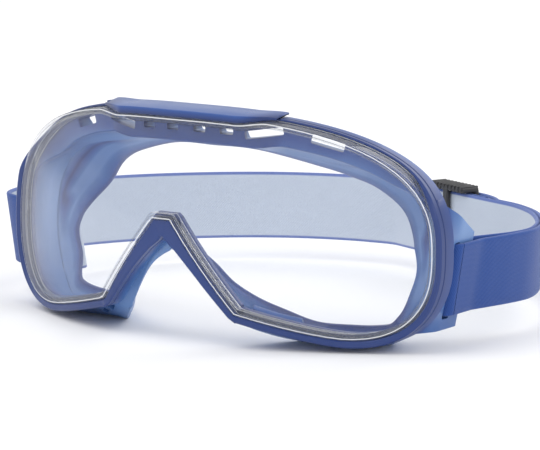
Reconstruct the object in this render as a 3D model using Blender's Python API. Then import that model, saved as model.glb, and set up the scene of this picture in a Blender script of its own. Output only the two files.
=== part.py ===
"""Safety goggles with a wrap-round clear lens, a soft frame, a face skirt and an elastic head strap.

Sizes are in millimetres and MM turns them into metres. The design frame has its origin at the
middle of the nose notch's top edge: +X to the wearer's left, +Y towards the face and +Z up.
The last step stands the goggles on z = 0 with their bounding box centred on the origin.
"""

import math

import bmesh
import bpy
import numpy as np
from mathutils import Matrix, Vector

MM = 0.001
GAP = 0.35

# Lens: outline as seen from the front, and the curve of its front face.
HALF_WIDTH = 82.5
TEMPLE_Z = -11.0
TOP_Z = 32.3
BOTTOM_Z = -37.0
TOP_ROUNDNESS = 2.6
CORNER_ROUNDNESS = 2.4
CORNER_REACH = 23.0
NOTCH_HALF_TOP = 3.4
NOTCH_TOP_Z = -1.6
NOTCH_FOOT_X = 25.9
NOTCH_FOOT_Z = -30.2
COVER_RECESS = 1.9
TEMPLE_DEPTH = 32.5
LEAN = 0.1
BOW = 0.0035
LENS_WALL = 2.0
FLANGE_DEPTH = 3.5
ROOF_DEPTH = 7.0
ROOF_STARTS_Z = 2.0
ROOF_FULL_Z = 20.0
LOWER_EDGE_BEND = 0.8

# Frame: the band around the lens, the seat behind it and the wall that runs back to the waist.
RIM = 2.6
NOSE_RIM = ((0.0, 5.45), (4.2, 5.8), (7.5, 4.8), (10.7, 4.4), (14.0, 4.1))
NOSE_RIM_ENDS = 4.0
TOP_RIM = 0.8
RIM_SETBACK = 0.4
ROOF_GRIP = 1.2
SEAT = 2.0
BROW_SEAT = 8.5
SEAT_THICKNESS = 1.8
SHOULDER = 4.0
FRAME_WALL = 2.2
WAIST_BEHIND_SEAT = 1.2

# Top vent slots: distance from the middle plane, width and height. Behind the seat each opens into
# a wider channel that runs out at the back.
TOP_SLOTS = ((5.3, 4.6, 2.0), (15.3, 4.8, 2.0), (28.0, 13.0, 2.6), (48.0, 11.0, 3.0))
TOP_SLOT_DROP = 3.9
TOP_SLOT_START = -2.0
CHANNEL_SPREAD = 1.6
CHANNEL_RAISE = 0.3
CHANNEL_RUN = 12.0

# Brow cover.
COVER_HALF = 34.0
COVER_FLAT_HALF = 22.6
COVER_DEPTH = 13.0
COVER_FRONT_HEIGHT = 2.3
COVER_REAR_HEIGHT = 3.0
COVER_TIP_HEIGHT = 0.9
COVER_CHAMFER = 0.35
COVER_LIFT = 0.35
COVER_OVERHANG = 0.3
COVER_TIP_INSET = 2.0
COVER_SECTIONS = 17

# Lower vent covers, on the floor of the frame beside the nose.
VENT_FROM = 9.5
VENT_TO = 13.0
VENT_SHARE = 0.55
VENT_DEPTH = 7.0
VENT_THICKNESS = 2.4
VENT_HOLE_LENGTH = 5.0
VENT_HOLE_WIDTH = 2.2
VENT_SECTIONS = 5

# Face skirt. Its lip is wider under the cheeks, where the goggles also stand on it.
SKIRT_WALL = 1.8
SKIRT_LIP = 2.5
SKIRT_LEAST_DEPTH = 4.0
CHEEK_LIP = 5.4
CHEEK_STARTS_Z = -25.0
CHEEK_FULL_Z = -33.0

# The plane that the goggles stand on.
FLOOR_Z = -41.3

# Wings and head strap.
WING_THICKNESS = 3.0
WING_INSET = 3.0
WING_Y = 45.0
WING_SPLAY = 0.03
WING_TOP_Z = 8.0
WING_FOOT_Z = -34.6
WING_REAR_TOP_Z = -5.0
WING_REAR_FOOT_Z = -35.5
WING_REAR_Y = 55.0
WING_REAR_RAKE = 0.1
WING_STEPS = (0.0, 0.3, 0.6, 1.0)
WING_BLEND = 0.55
BAR_FRONT_Y = 46.6
WING_STATIONS = (58.0, 54.0, 47.6)
SLOT_LAYERS = 3.0
SLOT_ROOM = 0.6
STRAP_WIDTH = 24.0
STRAP_THICKNESS = 1.4
STRAP_Z = -19.3
STRAP_REAR_Z = -21.3
STRAP_TILT = 0.17
ROD_RADIUS = 1.25
ROD_Y = 50.5
ROD_OVERHANG = 1.0
FREE_END_ANGLE = -95

# The strap's straight stretch at the back of the head, which the buckle slides along.
STRETCH_X = 14.4
STRETCH_Y = 149.9
STRETCH_TURN = math.radians(-22.8)
STRETCH_HALF = 34.0

# Tri-glide buckle.
BUCKLE_BAR = 2.8
BUCKLE_SLOT = 6.5
BUCKLE_THICKNESS = 1.7
BUCKLE_RAIL = 2.2
RETURN_LAP = 11.0
LAP_DESCENT = 2.5
LAP_CLEARANCE = 0.2
LAYERS_PART_OVER = 26.0

# Rows of a half outline: notch top, notch side, lower edge and lower corner. The upper edge
# repeats them backwards, so that each point of it stands over one of the lower edge.
ROWS = (2, 7, 8, 10)
HALF_ROWS = sum(ROWS)
LENS_BANDS = 6

# The waist, where the frame meets the skirt, and the skirt's inner edge on the face, both on the
# wearer's left side: row counted from the notch's middle, x as a share of HALF_WIDTH, then y and z.
WAIST = (
    (0, 0.0, 6.9, -8.6),
    (2, 0.02671, 6.9, -8.8),
    (5, 0.1285, 7.4, -16.4),
    (7, 0.1964, 9.2, -25.0),
    (9, 0.2703, 12.8, -33.2),
    (11, 0.3515, 20.0, -37.6),
    (13, 0.4363, 28.0, -40.3),
    (17, 0.6546, 33.0, -41.0),
    (21, 0.8, 37.0, -37.5),
    (24, 0.8848, 40.5, -27.0),
    (27, 0.9152, 41.5, -12.0),
    (29, 0.9091, 43.0, -1.0),
    (31, 0.8727, 44.0, 6.5),
    (34, 0.7697, 41.5, 13.0),
    (37, 0.6546, 36.0, 16.0),
    (41, 0.4848, 30.0, 18.5),
    (45, 0.3152, 26.0, 20.5),
    (54, 0.0, 23.5, 21.5),
)
FACE_EDGE = (
    (0, 0.0, 11.0, -9.8),
    (2, 0.05577, 11.0, -10.6),
    (5, 0.1648, 11.6, -16.0),
    (7, 0.2327, 13.4, -21.6),
    (9, 0.3054, 18.4, -26.8),
    (11, 0.3757, 25.0, -31.0),
    (13, 0.4606, 33.0, -35.4),
    (15, 0.5576, 41.5, -36.9),
    (17, 0.6424, 45.0, -36.8),
    (21, 0.7697, 41.0, -32.5),
    (24, 0.8, 42.3, -25.0),
    (27, 0.8242, 43.8, -15.5),
    (29, 0.7903, 48.0, -8.5),
    (31, 0.7272, 51.8, -1.5),
    (34, 0.6303, 48.5, 6.5),
    (37, 0.5333, 43.5, 10.8),
    (41, 0.4, 38.0, 14.5),
    (45, 0.2424, 33.0, 17.8),
    (54, 0.0, 30.0, 19.0),
)

# The strap's free run seen from above, from the left wing to the stretch and on to the right wing:
# x as a share of HALF_WIDTH, then y.
LEFT_RUN = (
    (-1.043, 44.2), (-1.14, 45.8), (-1.213, 49.6), (-1.253, 56.0), (-1.27, 66.0),
    (-1.27, 80.0), (-1.224, 100.0), (-1.103, 123.0), (-0.897, 143.0), (-0.6182, 157.0),
    (-0.3272, 163.0),
)
RIGHT_RUN = (
    (0.7333, 127.0), (0.8558, 114.5), (0.9503, 101.0), (1.006, 87.0), (1.005, 76.0),
    (0.9806, 66.0),
)

MATERIALS = {
    "lens": ((0.93, 0.96, 0.98), 0.04, 0.0),
    "frame": ((0.055, 0.085, 0.36), 0.35, 0.0),
    "face_skirt": ((0.28, 0.42, 0.68), 0.45, 0.0),
    "brow_cover": ((0.09, 0.19, 0.55), 0.3, 0.0),
    "lower_vent_cover_left": ((0.16, 0.26, 0.6), 0.35, 0.0),
    "lower_vent_cover_right": ((0.16, 0.26, 0.6), 0.35, 0.0),
    "strap_main": ((0.62, 0.68, 0.78), 0.85, 0.0),
    "strap_return": ((0.05, 0.07, 0.42), 0.85, 0.0),
    "strap_stop_rod": ((0.7, 0.72, 0.75), 0.3, 1.0),
    "triglide_buckle": ((0.02, 0.02, 0.022), 0.4, 0.0),
}


# ---------------------------------------------------------------- helpers


def smooth_share(low, high, value):
    """0 below low, 1 above high and a smooth rise between."""
    share = min(max((value - low) / (high - low), 0.0), 1.0)
    return share * share * (3 - 2 * share)


def mix(a, b, share):
    return a + (b - a) * share


def finish_object(name, mesh):
    obj = bpy.data.objects.new(name, mesh)
    bpy.context.scene.collection.objects.link(obj)
    return obj


def mesh_from(name, bm):
    """A mesh object from a bmesh in millimetres, with its faces pointing out."""
    bmesh.ops.remove_doubles(bm, verts=bm.verts, dist=1e-5)
    bmesh.ops.recalc_face_normals(bm, faces=bm.faces)
    bmesh.ops.scale(bm, vec=(MM, MM, MM), verts=bm.verts)
    mesh = bpy.data.meshes.new(name)
    bm.to_mesh(mesh)
    bm.free()
    return finish_object(name, mesh)


def make_helper(obj):
    obj.hide_render = True
    obj.display_type = "WIRE"
    return obj


def boolean(obj, tool, operation):
    modifier = obj.modifiers.new(tool.name, "BOOLEAN")
    modifier.operation = operation
    modifier.object = make_helper(tool)
    modifier.solver = "EXACT"


def step_onto(bm, verts, edges, targets):
    """Extrudes a row of edges and moves the new points onto targets, one for each old point."""
    made = bmesh.ops.extrude_edge_only(bm, edges=edges)["geom"]
    fresh = {part for part in made if isinstance(part, bmesh.types.BMVert)}
    new_edges = [
        part
        for part in made
        if isinstance(part, bmesh.types.BMEdge) and set(part.verts) <= fresh
    ]
    moved = []
    for vert, target in zip(verts, targets):
        twin = next(edge.other_vert(vert) for edge in vert.link_edges if edge.other_vert(vert) in fresh)
        twin.co = target
        moved.append(twin)
    return moved, new_edges


def ring_solid(name, loops):
    """A closed tube-like solid through closed loops that all have the same number of points."""
    bm = bmesh.new()
    verts = [bm.verts.new(point) for point in loops[0]]
    edges = [bm.edges.new((verts[i - 1], verts[i])) for i in range(len(verts))]
    for loop in list(loops[1:]) + [loops[0]]:
        verts, edges = step_onto(bm, verts, edges, loop)
    return mesh_from(name, bm)


def loft_solid(name, sections):
    """A closed solid through open sections, with a face at each end."""
    bm = bmesh.new()
    verts = [bm.verts.new(point) for point in sections[0]]
    bm.faces.new(verts)
    edges = [bm.edges.get((verts[i - 1], verts[i])) for i in range(len(verts))]
    for section in sections[1:]:
        verts, edges = step_onto(bm, verts, edges, section)
    bm.faces.new(verts)
    return mesh_from(name, bm)


def box_solid(name, size, centre=(0, 0, 0), turn=None):
    bm = bmesh.new()
    bmesh.ops.create_cube(bm, size=1)
    bmesh.ops.scale(bm, vec=size, verts=bm.verts)
    if turn is not None:
        bmesh.ops.transform(bm, matrix=turn.to_4x4(), verts=bm.verts)
    bmesh.ops.translate(bm, vec=centre, verts=bm.verts)
    return mesh_from(name, bm)


def spline(keys, places):
    """Smooth values at places through keys, each a place followed by its values."""
    keys = np.array(keys, float)
    at, values = keys[:, 0], keys[:, 1:]
    slopes = np.gradient(values, at, axis=0)
    found = []
    for place in places:
        i = int(np.clip(np.searchsorted(at, place, side="right") - 1, 0, len(at) - 2))
        span = at[i + 1] - at[i]
        s = (place - at[i]) / span
        found.append(
            (2 * s**3 - 3 * s**2 + 1) * values[i]
            + (s**3 - 2 * s**2 + s) * span * slopes[i]
            + (3 * s**2 - 2 * s**3) * values[i + 1]
            + (s**3 - s**2) * span * slopes[i + 1]
        )
    return np.array(found)


def curve_through(points, spacing):
    """Points about spacing apart on a smooth curve through the given ones."""
    points = np.array(points, float)
    steps = np.linalg.norm(np.diff(points, axis=0), axis=1)
    along = np.concatenate([[0], np.cumsum(steps)])
    count = max(int(round(along[-1] / spacing)), 2)
    keys = np.column_stack([along, points])
    return spline(keys, np.linspace(0, along[-1], count + 1))


# ---------------------------------------------------------------- outline of the lens


def corner_x():
    return HALF_WIDTH - CORNER_REACH


def top_edge(x):
    x = abs(x)
    share = max(1 - (x / HALF_WIDTH) ** TOP_ROUNDNESS, 0.0)
    height = (TOP_Z - TEMPLE_Z) * share ** (1 / TOP_ROUNDNESS)
    recess = COVER_RECESS * (1 - smooth_share(COVER_FLAT_HALF, COVER_HALF, x))
    return TEMPLE_Z + height - recess


def bottom_edge(x):
    x = abs(x)
    if x <= NOTCH_HALF_TOP:
        return NOTCH_TOP_Z
    if x <= NOTCH_FOOT_X:
        return mix(NOTCH_TOP_Z, NOTCH_FOOT_Z, (x - NOTCH_HALF_TOP) / (NOTCH_FOOT_X - NOTCH_HALF_TOP))
    if x <= corner_x():
        bend = mix(NOTCH_FOOT_X, corner_x(), LOWER_EDGE_BEND)
        a = NOTCH_FOOT_X - 2 * bend + corner_x()
        b = 2 * (bend - NOTCH_FOOT_X)
        c = NOTCH_FOOT_X - x
        t = (-b + math.sqrt(b * b - 4 * a * c)) / (2 * a)
        return (1 - t) ** 2 * NOTCH_FOOT_Z + (1 - (1 - t) ** 2) * BOTTOM_Z
    share = max(1 - ((x - corner_x()) / CORNER_REACH) ** CORNER_ROUNDNESS, 0.0)
    return TEMPLE_Z + (BOTTOM_Z - TEMPLE_Z) * share ** (1 / CORNER_ROUNDNESS)


def column_places():
    """x of each row from the middle out to the temple."""
    stops = (0.0, NOTCH_HALF_TOP, NOTCH_FOOT_X, corner_x())
    places = [0.0]
    for start, end, count in zip(stops, stops[1:], ROWS):
        places += [mix(start, end, i / count) for i in range(1, count + 1)]
    quarter = math.pi / 2
    corner = [math.sin(quarter * i / ROWS[3]) for i in range(1, ROWS[3] + 1)]
    places += [corner_x() + CORNER_REACH * share for share in corner]
    return places


def plan_radius():
    return HALF_WIDTH**2 / (2 * TEMPLE_DEPTH)


def front_face(x, z):
    return x * x / (2 * plan_radius()) + LEAN * z + BOW * z * z


def roof_share(z):
    return smooth_share(ROOF_STARTS_Z, ROOF_FULL_Z, z)


def flange_depth(z):
    return mix(FLANGE_DEPTH, ROOF_DEPTH, roof_share(z))


class Outline:
    """The lens's outline as a closed loop of rows, with the waist and the face edge that face it."""

    def __init__(self):
        places = column_places()
        half = [(x, bottom_edge(x)) for x in places]
        half += [(x, top_edge(x)) for x in reversed(places[:-1])]
        rows = 2 * HALF_ROWS
        left = [(-x, z) for x, z in reversed(half[1:-1])]
        self.points = half + left
        self.count = len(self.points)
        self.half = rows
        self.normals = [self.normal(i) for i in range(self.count)]
        self.lean_normals()
        self.waist = self.mirrored(WAIST)
        self.face = self.mirrored(FACE_EDGE)
        self.tie_depths()

    def normal(self, i):
        """Outward direction at row i, longer at a corner so that an offset keeps its distance."""
        before = Vector(self.points[i]) - Vector(self.points[i - 1])
        after = Vector(self.points[(i + 1) % self.count]) - Vector(self.points[i])
        before.normalize()
        after.normalize()
        middle = (before + after).normalized()
        stretch = 1 / max(middle.dot(after), 0.7)
        return Vector((middle.y, -middle.x)) * stretch

    def lean_normals(self):
        """Leans the directions along each straight side of the notch evenly from one corner's mitre
        to the other's, so that offset rows never cross."""
        top, foot = ROWS[0], ROWS[0] + ROWS[1]
        for start, end in ((0, top), (top, foot)):
            for row in range(start + 1, end):
                share = (row - start) / (end - start)
                lean = self.normals[start].lerp(self.normals[end], share)
                self.normals[row] = lean
                self.normals[-row] = Vector((-lean.x, lean.y))

    def mirrored(self, keys):
        """Points of a line on the wearer's left side, and their mirror images, row for row."""
        ghost = [(-row, -x, y, z) for row, x, y, z in reversed(keys[1:4])]
        end = keys[-1][0]
        after = [(2 * end - row, -x, y, z) for row, x, y, z in reversed(keys[-4:-1])]
        found = spline(ghost + list(keys) + after, range(self.half + 1))
        found[:, 0] *= HALF_WIDTH
        found[0][0] = 0.0
        found[-1][0] = 0.0
        mirror = [(-x, y, z) for x, y, z in reversed(found[1:-1])]
        return [Vector(point) for point in list(found) + mirror]

    def tie_depths(self):
        """Keeps the waist behind the lens seat and the face edge behind the waist."""
        for i in range(self.count):
            seat_rear = self.at(i, 0, self.seat_front(i) + SEAT_THICKNESS).y
            self.waist[i].y = max(self.waist[i].y, seat_rear + WAIST_BEHIND_SEAT)
            self.face[i].y = max(self.face[i].y, self.waist[i].y + SKIRT_LEAST_DEPTH)

    def at(self, i, offset, depth):
        """The point offset outwards from row i, and depth behind the lens's front face there."""
        x, z = self.points[i]
        normal = self.normals[i]
        return Vector((x + normal.x * offset, front_face(x, z) + depth, z + normal.y * offset))

    def out(self, i):
        normal = self.normals[i]
        return Vector((normal.x, 0, normal.y))

    def seat_front(self, i):
        return flange_depth(self.points[i][1]) + GAP

    def rim(self, i):
        """How far the frame's band stands out from the lens's edge."""
        x, z = self.points[i]
        nose = 1 - smooth_share(NOTCH_HALF_TOP, NOTCH_FOOT_X + NOSE_RIM_ENDS, abs(x))
        band = float(np.interp(abs(x), *zip(*NOSE_RIM)))
        lower = mix(RIM, band, nose if z < ROOF_STARTS_Z else 0)
        return mix(lower, TOP_RIM, roof_share(z))

    def band_front(self, i):
        z = self.points[i][1]
        return mix(RIM_SETBACK, ROOF_DEPTH - ROOF_GRIP, roof_share(z))

    def seat(self, i):
        return mix(SEAT, BROW_SEAT, roof_share(self.points[i][1]))

    def seat_rear_point(self, i):
        return self.at(i, -self.seat(i), self.seat_front(i) + SEAT_THICKNESS)

    def waist_inner(self, i):
        return self.waist[i] - self.out(i) * FRAME_WALL / 2


# ---------------------------------------------------------------- goggles


def make_lens():
    """Clear moulding: a curved window whose edge turns back into a flange, deeper at the brow."""
    places = column_places()
    columns = [-x for x in reversed(places[1:])] + places
    bm = bmesh.new()
    bmesh.ops.create_grid(bm, x_segments=len(columns) - 1, y_segments=LENS_BANDS, size=1)
    for vert in bm.verts:
        x = columns[round((vert.co.x + 1) / 2 * (len(columns) - 1))]
        z = mix(bottom_edge(x), top_edge(x), (vert.co.y + 1) / 2)
        vert.co = (x, front_face(x, z), z)
    bmesh.ops.remove_doubles(bm, verts=bm.verts, dist=1e-4)
    border = [edge for edge in bm.edges if edge.is_boundary]
    verts = list({vert for edge in border for vert in edge.verts})
    targets = [vert.co + Vector((0, flange_depth(vert.co.z), 0)) for vert in verts]
    step_onto(bm, verts, border, targets)
    obj = mesh_from("lens", bm)
    if sum(face.normal.y * face.area for face in obj.data.polygons) > 0:
        obj.data.flip_normals()
    shell = obj.modifiers.new("wall", "SOLIDIFY")
    shell.thickness = LENS_WALL * MM
    shell.offset = -1
    shell.use_even_offset = True
    return obj


def make_frame(outline):
    rows = range(outline.count)
    loops = [
        [outline.at(i, outline.rim(i), outline.band_front(i)) for i in rows],
        [outline.at(i, GAP, outline.band_front(i)) for i in rows],
        [outline.at(i, GAP, outline.seat_front(i)) for i in rows],
        [outline.at(i, -outline.seat(i), outline.seat_front(i)) for i in rows],
        [outline.seat_rear_point(i) for i in rows],
        [outline.waist_inner(i) for i in rows],
        [outline.waist[i] + outline.out(i) * FRAME_WALL / 2 for i in rows],
        [outline.at(i, outline.rim(i), outline.seat_front(i) + SHOULDER) for i in rows],
    ]
    frame = ring_solid("frame", loops)
    for side, sign in (("left", 1), ("right", -1)):
        boolean(frame, make_wing(outline, side, sign), "UNION")
        boolean(frame, make_strap_slot(side, sign), "DIFFERENCE")
        for number, cutter in enumerate(top_slot_cutters(side, sign)):
            boolean(frame, cutter, "DIFFERENCE")
        for cutter in lower_vent_cutters(outline, side, sign):
            boolean(frame, cutter, "DIFFERENCE")
    boolean(frame, make_floor_cutter("frame_floor"), "DIFFERENCE")
    return frame


def wing_plane(y, z):
    """x of the wing's middle surface near its strap slot."""
    return HALF_WIDTH - WING_INSET - WING_SPLAY * (y - WING_Y) + STRAP_TILT * (z - STRAP_Z)


def make_wing(outline, side, sign):
    """A curved plate that runs back from the frame's temple to the strap slot."""
    wing_rows = [
        i for i in range(outline.half + 1)
        if outline.points[i][0] > corner_x() and WING_FOOT_Z <= outline.points[i][1] <= WING_TOP_Z
    ]
    top, foot = outline.points[wing_rows[-1]][1], outline.points[wing_rows[0]][1]
    sections = []
    for i in wing_rows:
        z = outline.points[i][1]
        share = (z - foot) / (top - foot)
        rear_z = mix(WING_REAR_FOOT_Z, WING_REAR_TOP_Z, share)
        rear_y = WING_REAR_Y - WING_REAR_RAKE * (WING_REAR_TOP_Z - rear_z)
        root = outline.at(i, RIM - WING_THICKNESS / 2, outline.seat_front(i))
        path = []
        for step in WING_STEPS:
            at_y = mix(root.y, rear_y, step)
            at_z = mix(root.z, rear_z, step)
            blend = smooth_share(0.0, WING_BLEND, step)
            path.append(Vector((mix(root.x, wing_plane(at_y, at_z), blend), at_y, at_z)))
        half = Vector((WING_THICKNESS / 2, 0, 0))
        section = [point + half for point in path] + [point - half for point in reversed(path)]
        sections.append([Vector((sign * p.x, p.y, p.z)) for p in section])
    return loft_solid(f"wing_{side}", sections)


def plane_turn(sign):
    """Turns a box so that its sides follow the wing's splay and tilt."""
    splay = Matrix.Rotation(math.atan(WING_SPLAY) * sign, 3, "Z")
    tilt = Matrix.Rotation(math.atan(STRAP_TILT) * sign, 3, "Y")
    return splay @ tilt


def make_strap_slot(side, sign):
    """The slot takes the strap's thickness SLOT_LAYERS times."""
    slot_width = SLOT_LAYERS * STRAP_THICKNESS
    centre_y = BAR_FRONT_Y - slot_width / 2
    centre = (sign * wing_plane(centre_y, STRAP_Z), centre_y, STRAP_Z)
    size = (3 * WING_THICKNESS, slot_width, STRAP_WIDTH + 2 * SLOT_ROOM)
    return box_solid(f"strap_slot_{side}", size, centre, plane_turn(sign))


def top_slot_cutters(side, sign):
    """A narrow slot through the seat and a wider channel behind it, for each top vent."""
    cutters = []
    for number, (x, width, height) in enumerate(TOP_SLOTS):
        z = top_edge(x)
        rise = math.atan((top_edge(x + 1) - top_edge(x - 1)) / 2)
        sweep = math.atan(x / plan_radius())
        seat_y = front_face(x, z) + flange_depth(z) + GAP
        base = Vector((sign * x, seat_y, z - TOP_SLOT_DROP))
        turn = Matrix.Rotation(sweep * sign, 3, "Z") @ Matrix.Rotation(-rise * sign, 3, "Y")
        wide, high = width + 2 * CHANNEL_SPREAD, height + 2 * CHANNEL_RAISE
        slot = ("slot", width, height, TOP_SLOT_START, SEAT_THICKNESS + 1)
        channel = ("channel", wide, high, SEAT_THICKNESS, SEAT_THICKNESS + CHANNEL_RUN)
        for kind, across, tall, start, end in (slot, channel):
            centre = base + turn @ Vector((0, (start + end) / 2, 0))
            size = (across, end - start, tall)
            cutters.append(box_solid(f"top_{kind}_{side}_{number}", size, centre, turn))
    return cutters


def floor_frame(outline, row, sign):
    """The frame's floor at a row between two others: a point on it, its run to the rear and its up."""
    low = int(math.floor(row))
    share = row - low
    front = outline.seat_rear_point(low).lerp(outline.seat_rear_point(low + 1), share)
    rear = outline.waist_inner(low).lerp(outline.waist_inner(low + 1), share)
    run = (rear - front).normalized()
    side = (outline.waist_inner(low + 1) - outline.waist_inner(low)).normalized()
    up = side.cross(run)
    up.normalize()
    if up.z < 0:
        up.negate()
    point = front.lerp(rear, VENT_SHARE)
    flip = Vector((sign, 1, 1))
    return point * flip, run * flip, up * flip, side * flip


def make_lower_vent_cover(outline, side, sign):
    """A low cap over the lower vent holes, standing on the floor beside the nose."""
    sections = []
    for step in range(VENT_SECTIONS):
        row = mix(VENT_FROM, VENT_TO, step / (VENT_SECTIONS - 1))
        point, run, up, _ = floor_frame(outline, row, sign)
        foot = point + up * GAP * 2
        top = foot + up * VENT_THICKNESS
        half = run * VENT_DEPTH / 2
        inset = run * VENT_DEPTH / 3
        sections.append([foot - half, foot + half, top + inset, top - inset])
    return loft_solid(f"lower_vent_cover_{side}", sections)


def lower_vent_cutters(outline, side, sign):
    cutters = []
    for number, share in enumerate((0.25, 0.75)):
        point, run, up, along = floor_frame(outline, mix(VENT_FROM, VENT_TO, share), sign)
        turn = Matrix((along, run, up)).transposed()
        size = (VENT_HOLE_LENGTH, VENT_HOLE_WIDTH, 4 * FRAME_WALL)
        cutters.append(box_solid(f"lower_vent_{side}_{number}", size, point, turn))
    return cutters


def make_face_skirt(outline):
    rows = range(outline.count)
    back = Vector((0, 1, 0))
    wall = SKIRT_WALL

    def waist(i, share):
        return outline.waist[i] + outline.out(i) * wall * share + back * GAP

    def lip(i):
        cheek = smooth_share(-CHEEK_STARTS_Z, -CHEEK_FULL_Z, -outline.face[i].z)
        return mix(SKIRT_LIP, CHEEK_LIP, cheek)

    def face(i, offset, behind):
        return outline.face[i] + outline.out(i) * offset + back * behind

    loops = [
        [waist(i, 0.5) for i in rows],
        [face(i, lip(i), -wall * 0.5) for i in rows],
        [face(i, lip(i) * 0.8, wall * 0.5) for i in rows],
        [face(i, 0, wall * 0.3) for i in rows],
        [face(i, 0, -wall * 0.6) for i in rows],
        [face(i, lip(i) - wall, -wall) for i in rows],
        [waist(i, -0.5) for i in rows],
    ]
    skirt = ring_solid("face_skirt", loops)
    boolean(skirt, make_floor_cutter("skirt_floor"), "DIFFERENCE")
    return skirt


def make_floor_cutter(name):
    """Everything below the plane that the goggles stand on."""
    depth = 20.0
    return box_solid(name, (4 * HALF_WIDTH, 4 * HALF_WIDTH, depth), (0, 0, FLOOR_Z - depth / 2))


def make_brow_cover():
    """A clip-on bar over the lens's roof, with chamfered ends. Its origin is on the lens's top."""
    origin = Vector((0, front_face(0, top_edge(0)) + COVER_DEPTH / 2, top_edge(0)))
    sections = []
    for step in range(COVER_SECTIONS):
        x = mix(-COVER_HALF, COVER_HALF, step / (COVER_SECTIONS - 1))
        z = top_edge(x) + GAP
        tip = smooth_share(COVER_FLAT_HALF, COVER_HALF, abs(x))
        chamfer = COVER_CHAMFER * max(abs(x) - COVER_FLAT_HALF, 0)
        front = front_face(x, z) - COVER_OVERHANG + chamfer
        step_y = front_face(x, z) + ROOF_DEPTH - ROOF_GRIP - GAP
        rear = front_face(x, z) + COVER_DEPTH - COVER_TIP_INSET * tip
        step_z = z + TOP_RIM + COVER_LIFT
        front_top = z + mix(COVER_FRONT_HEIGHT, COVER_TIP_HEIGHT, tip)
        tip_top = step_z - z + COVER_TIP_HEIGHT
        rear_top = z + mix(COVER_REAR_HEIGHT, tip_top, tip)
        lower = ((front, z), (step_y, z), (step_y, step_z), (rear, step_z))
        profile = lower + ((rear, rear_top), (front, front_top))
        sections.append([Vector((x, y, height)) - origin for y, height in profile])
    cover = loft_solid("brow_cover", sections)
    cover.location = origin * MM
    return cover


# ---------------------------------------------------------------- strap and buckle


def stretch_frame():
    """The stretch's middle, its run towards the wearer's left and its outward side."""
    middle = Vector((STRETCH_X, STRETCH_Y))
    run = Vector((math.cos(STRETCH_TURN), math.sin(STRETCH_TURN)))
    outward = Vector((-run.y, run.x))
    return middle, run, outward


def on_stretch(along, out):
    middle, run, outward = stretch_frame()
    return tuple(middle + run * along + outward * out)


def widened(run):
    return [(share * HALF_WIDTH, y) for share, y in run]


def wing_layer(y, side):
    """A point beside the wing's bar, on its outer side (1) or its inner side (-1)."""
    offset = WING_THICKNESS / 2 + GAP + STRAP_THICKNESS / 2
    return (wing_plane(y, STRAP_Z) + side * offset, y)


def bar_turn(start, end, steps):
    """An arc around the front edge of the wing's bar; 0 is its outer side and 180 its inner side."""
    radius = WING_THICKNESS / 2 + GAP + STRAP_THICKNESS / 2
    centre_x = wing_plane(BAR_FRONT_Y, STRAP_Z)
    arc = []
    for i in range(steps + 1):
        angle = math.radians(mix(start, end, i / steps))
        arc.append((centre_x + radius * math.cos(angle), BAR_FRONT_Y - radius * math.sin(angle)))
    return arc


def rod_place():
    radius = ROD_RADIUS + GAP + STRAP_THICKNESS / 2
    return wing_layer(ROD_Y, -1)[0] - radius, ROD_Y, radius


def rod_loop():
    """The strap's sewn end, round the stop rod, from its free end to the bar."""
    x, y, radius = rod_place()
    angles = np.radians(np.linspace(FREE_END_ANGLE, 180, 12))
    return [(-x + radius * math.cos(angle), y + radius * math.sin(angle)) for angle in angles]


def ribbon(name, path):
    """Flat webbing along a path seen from above, leaning with the wings and upright at the back."""
    rear = STRETCH_Y
    sections = []
    for i, (x, y) in enumerate(path):
        before = Vector(path[max(i - 1, 0)])
        after = Vector(path[min(i + 1, len(path) - 1)])
        run = (after - before).normalized()
        across = Vector((run.y, -run.x, 0))
        share = smooth_share(WING_REAR_Y, rear, y)
        lean = STRAP_TILT * (1 - share) * (1 if x > 0 else -1)
        z = mix(STRAP_Z, STRAP_REAR_Z, share)
        up = Vector((lean, 0, 1)).normalized() * STRAP_WIDTH / 2
        centre = Vector((x, y, z))
        half = across * STRAP_THICKNESS / 2
        foot, top = centre - up, centre + up
        sections.append([foot - half, foot + half, top + half, top - half])
    return loft_solid(name, sections)


def right_layers():
    """Inner and outer layer of the right side, from the end of the stretch to the wing's bar."""
    half_layer = (STRAP_THICKNESS + GAP) / 2
    at_wing = WING_THICKNESS / 2 + GAP + STRAP_THICKNESS / 2
    middle = [on_stretch(STRETCH_HALF * share, half_layer) for share in (0.7, 0.85, 1.0)]
    middle += widened(RIGHT_RUN)
    middle += [(wing_plane(y, STRAP_Z), y) for y in WING_STATIONS]
    points = curve_through(middle, 5.0)
    runs = np.gradient(points, axis=0)
    runs /= np.linalg.norm(runs, axis=1)[:, None]
    inner, outer = [], []
    for (x, y), (run_x, run_y) in zip(points, runs):
        near_wing = 1 - smooth_share(WING_REAR_Y, WING_REAR_Y + LAYERS_PART_OVER, y)
        spread = mix(half_layer, at_wing, near_wing)
        inner.append((x + run_y * spread, y - run_x * spread))
        outer.append((x - run_y * spread, y + run_x * spread))
    return inner, outer


def make_strap_main():
    """Webbing from the left wing round the back, through the buckle and round the right wing's bar."""
    left_turn = [(-x, y) for x, y in bar_turn(180, 90, 5)]
    free = [left_turn[-1]] + widened(LEFT_RUN)
    free += [on_stretch(-STRETCH_HALF * share, 0) for share in (1.0, 0.85, 0.7, 0.0)]
    inner, _ = right_layers()
    path = rod_loop() + left_turn + [tuple(p) for p in curve_through(free, 5.5)[1:]]
    path += inner[:-1] + bar_turn(180, 0, 8)
    return ribbon("strap_main", path)


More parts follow.
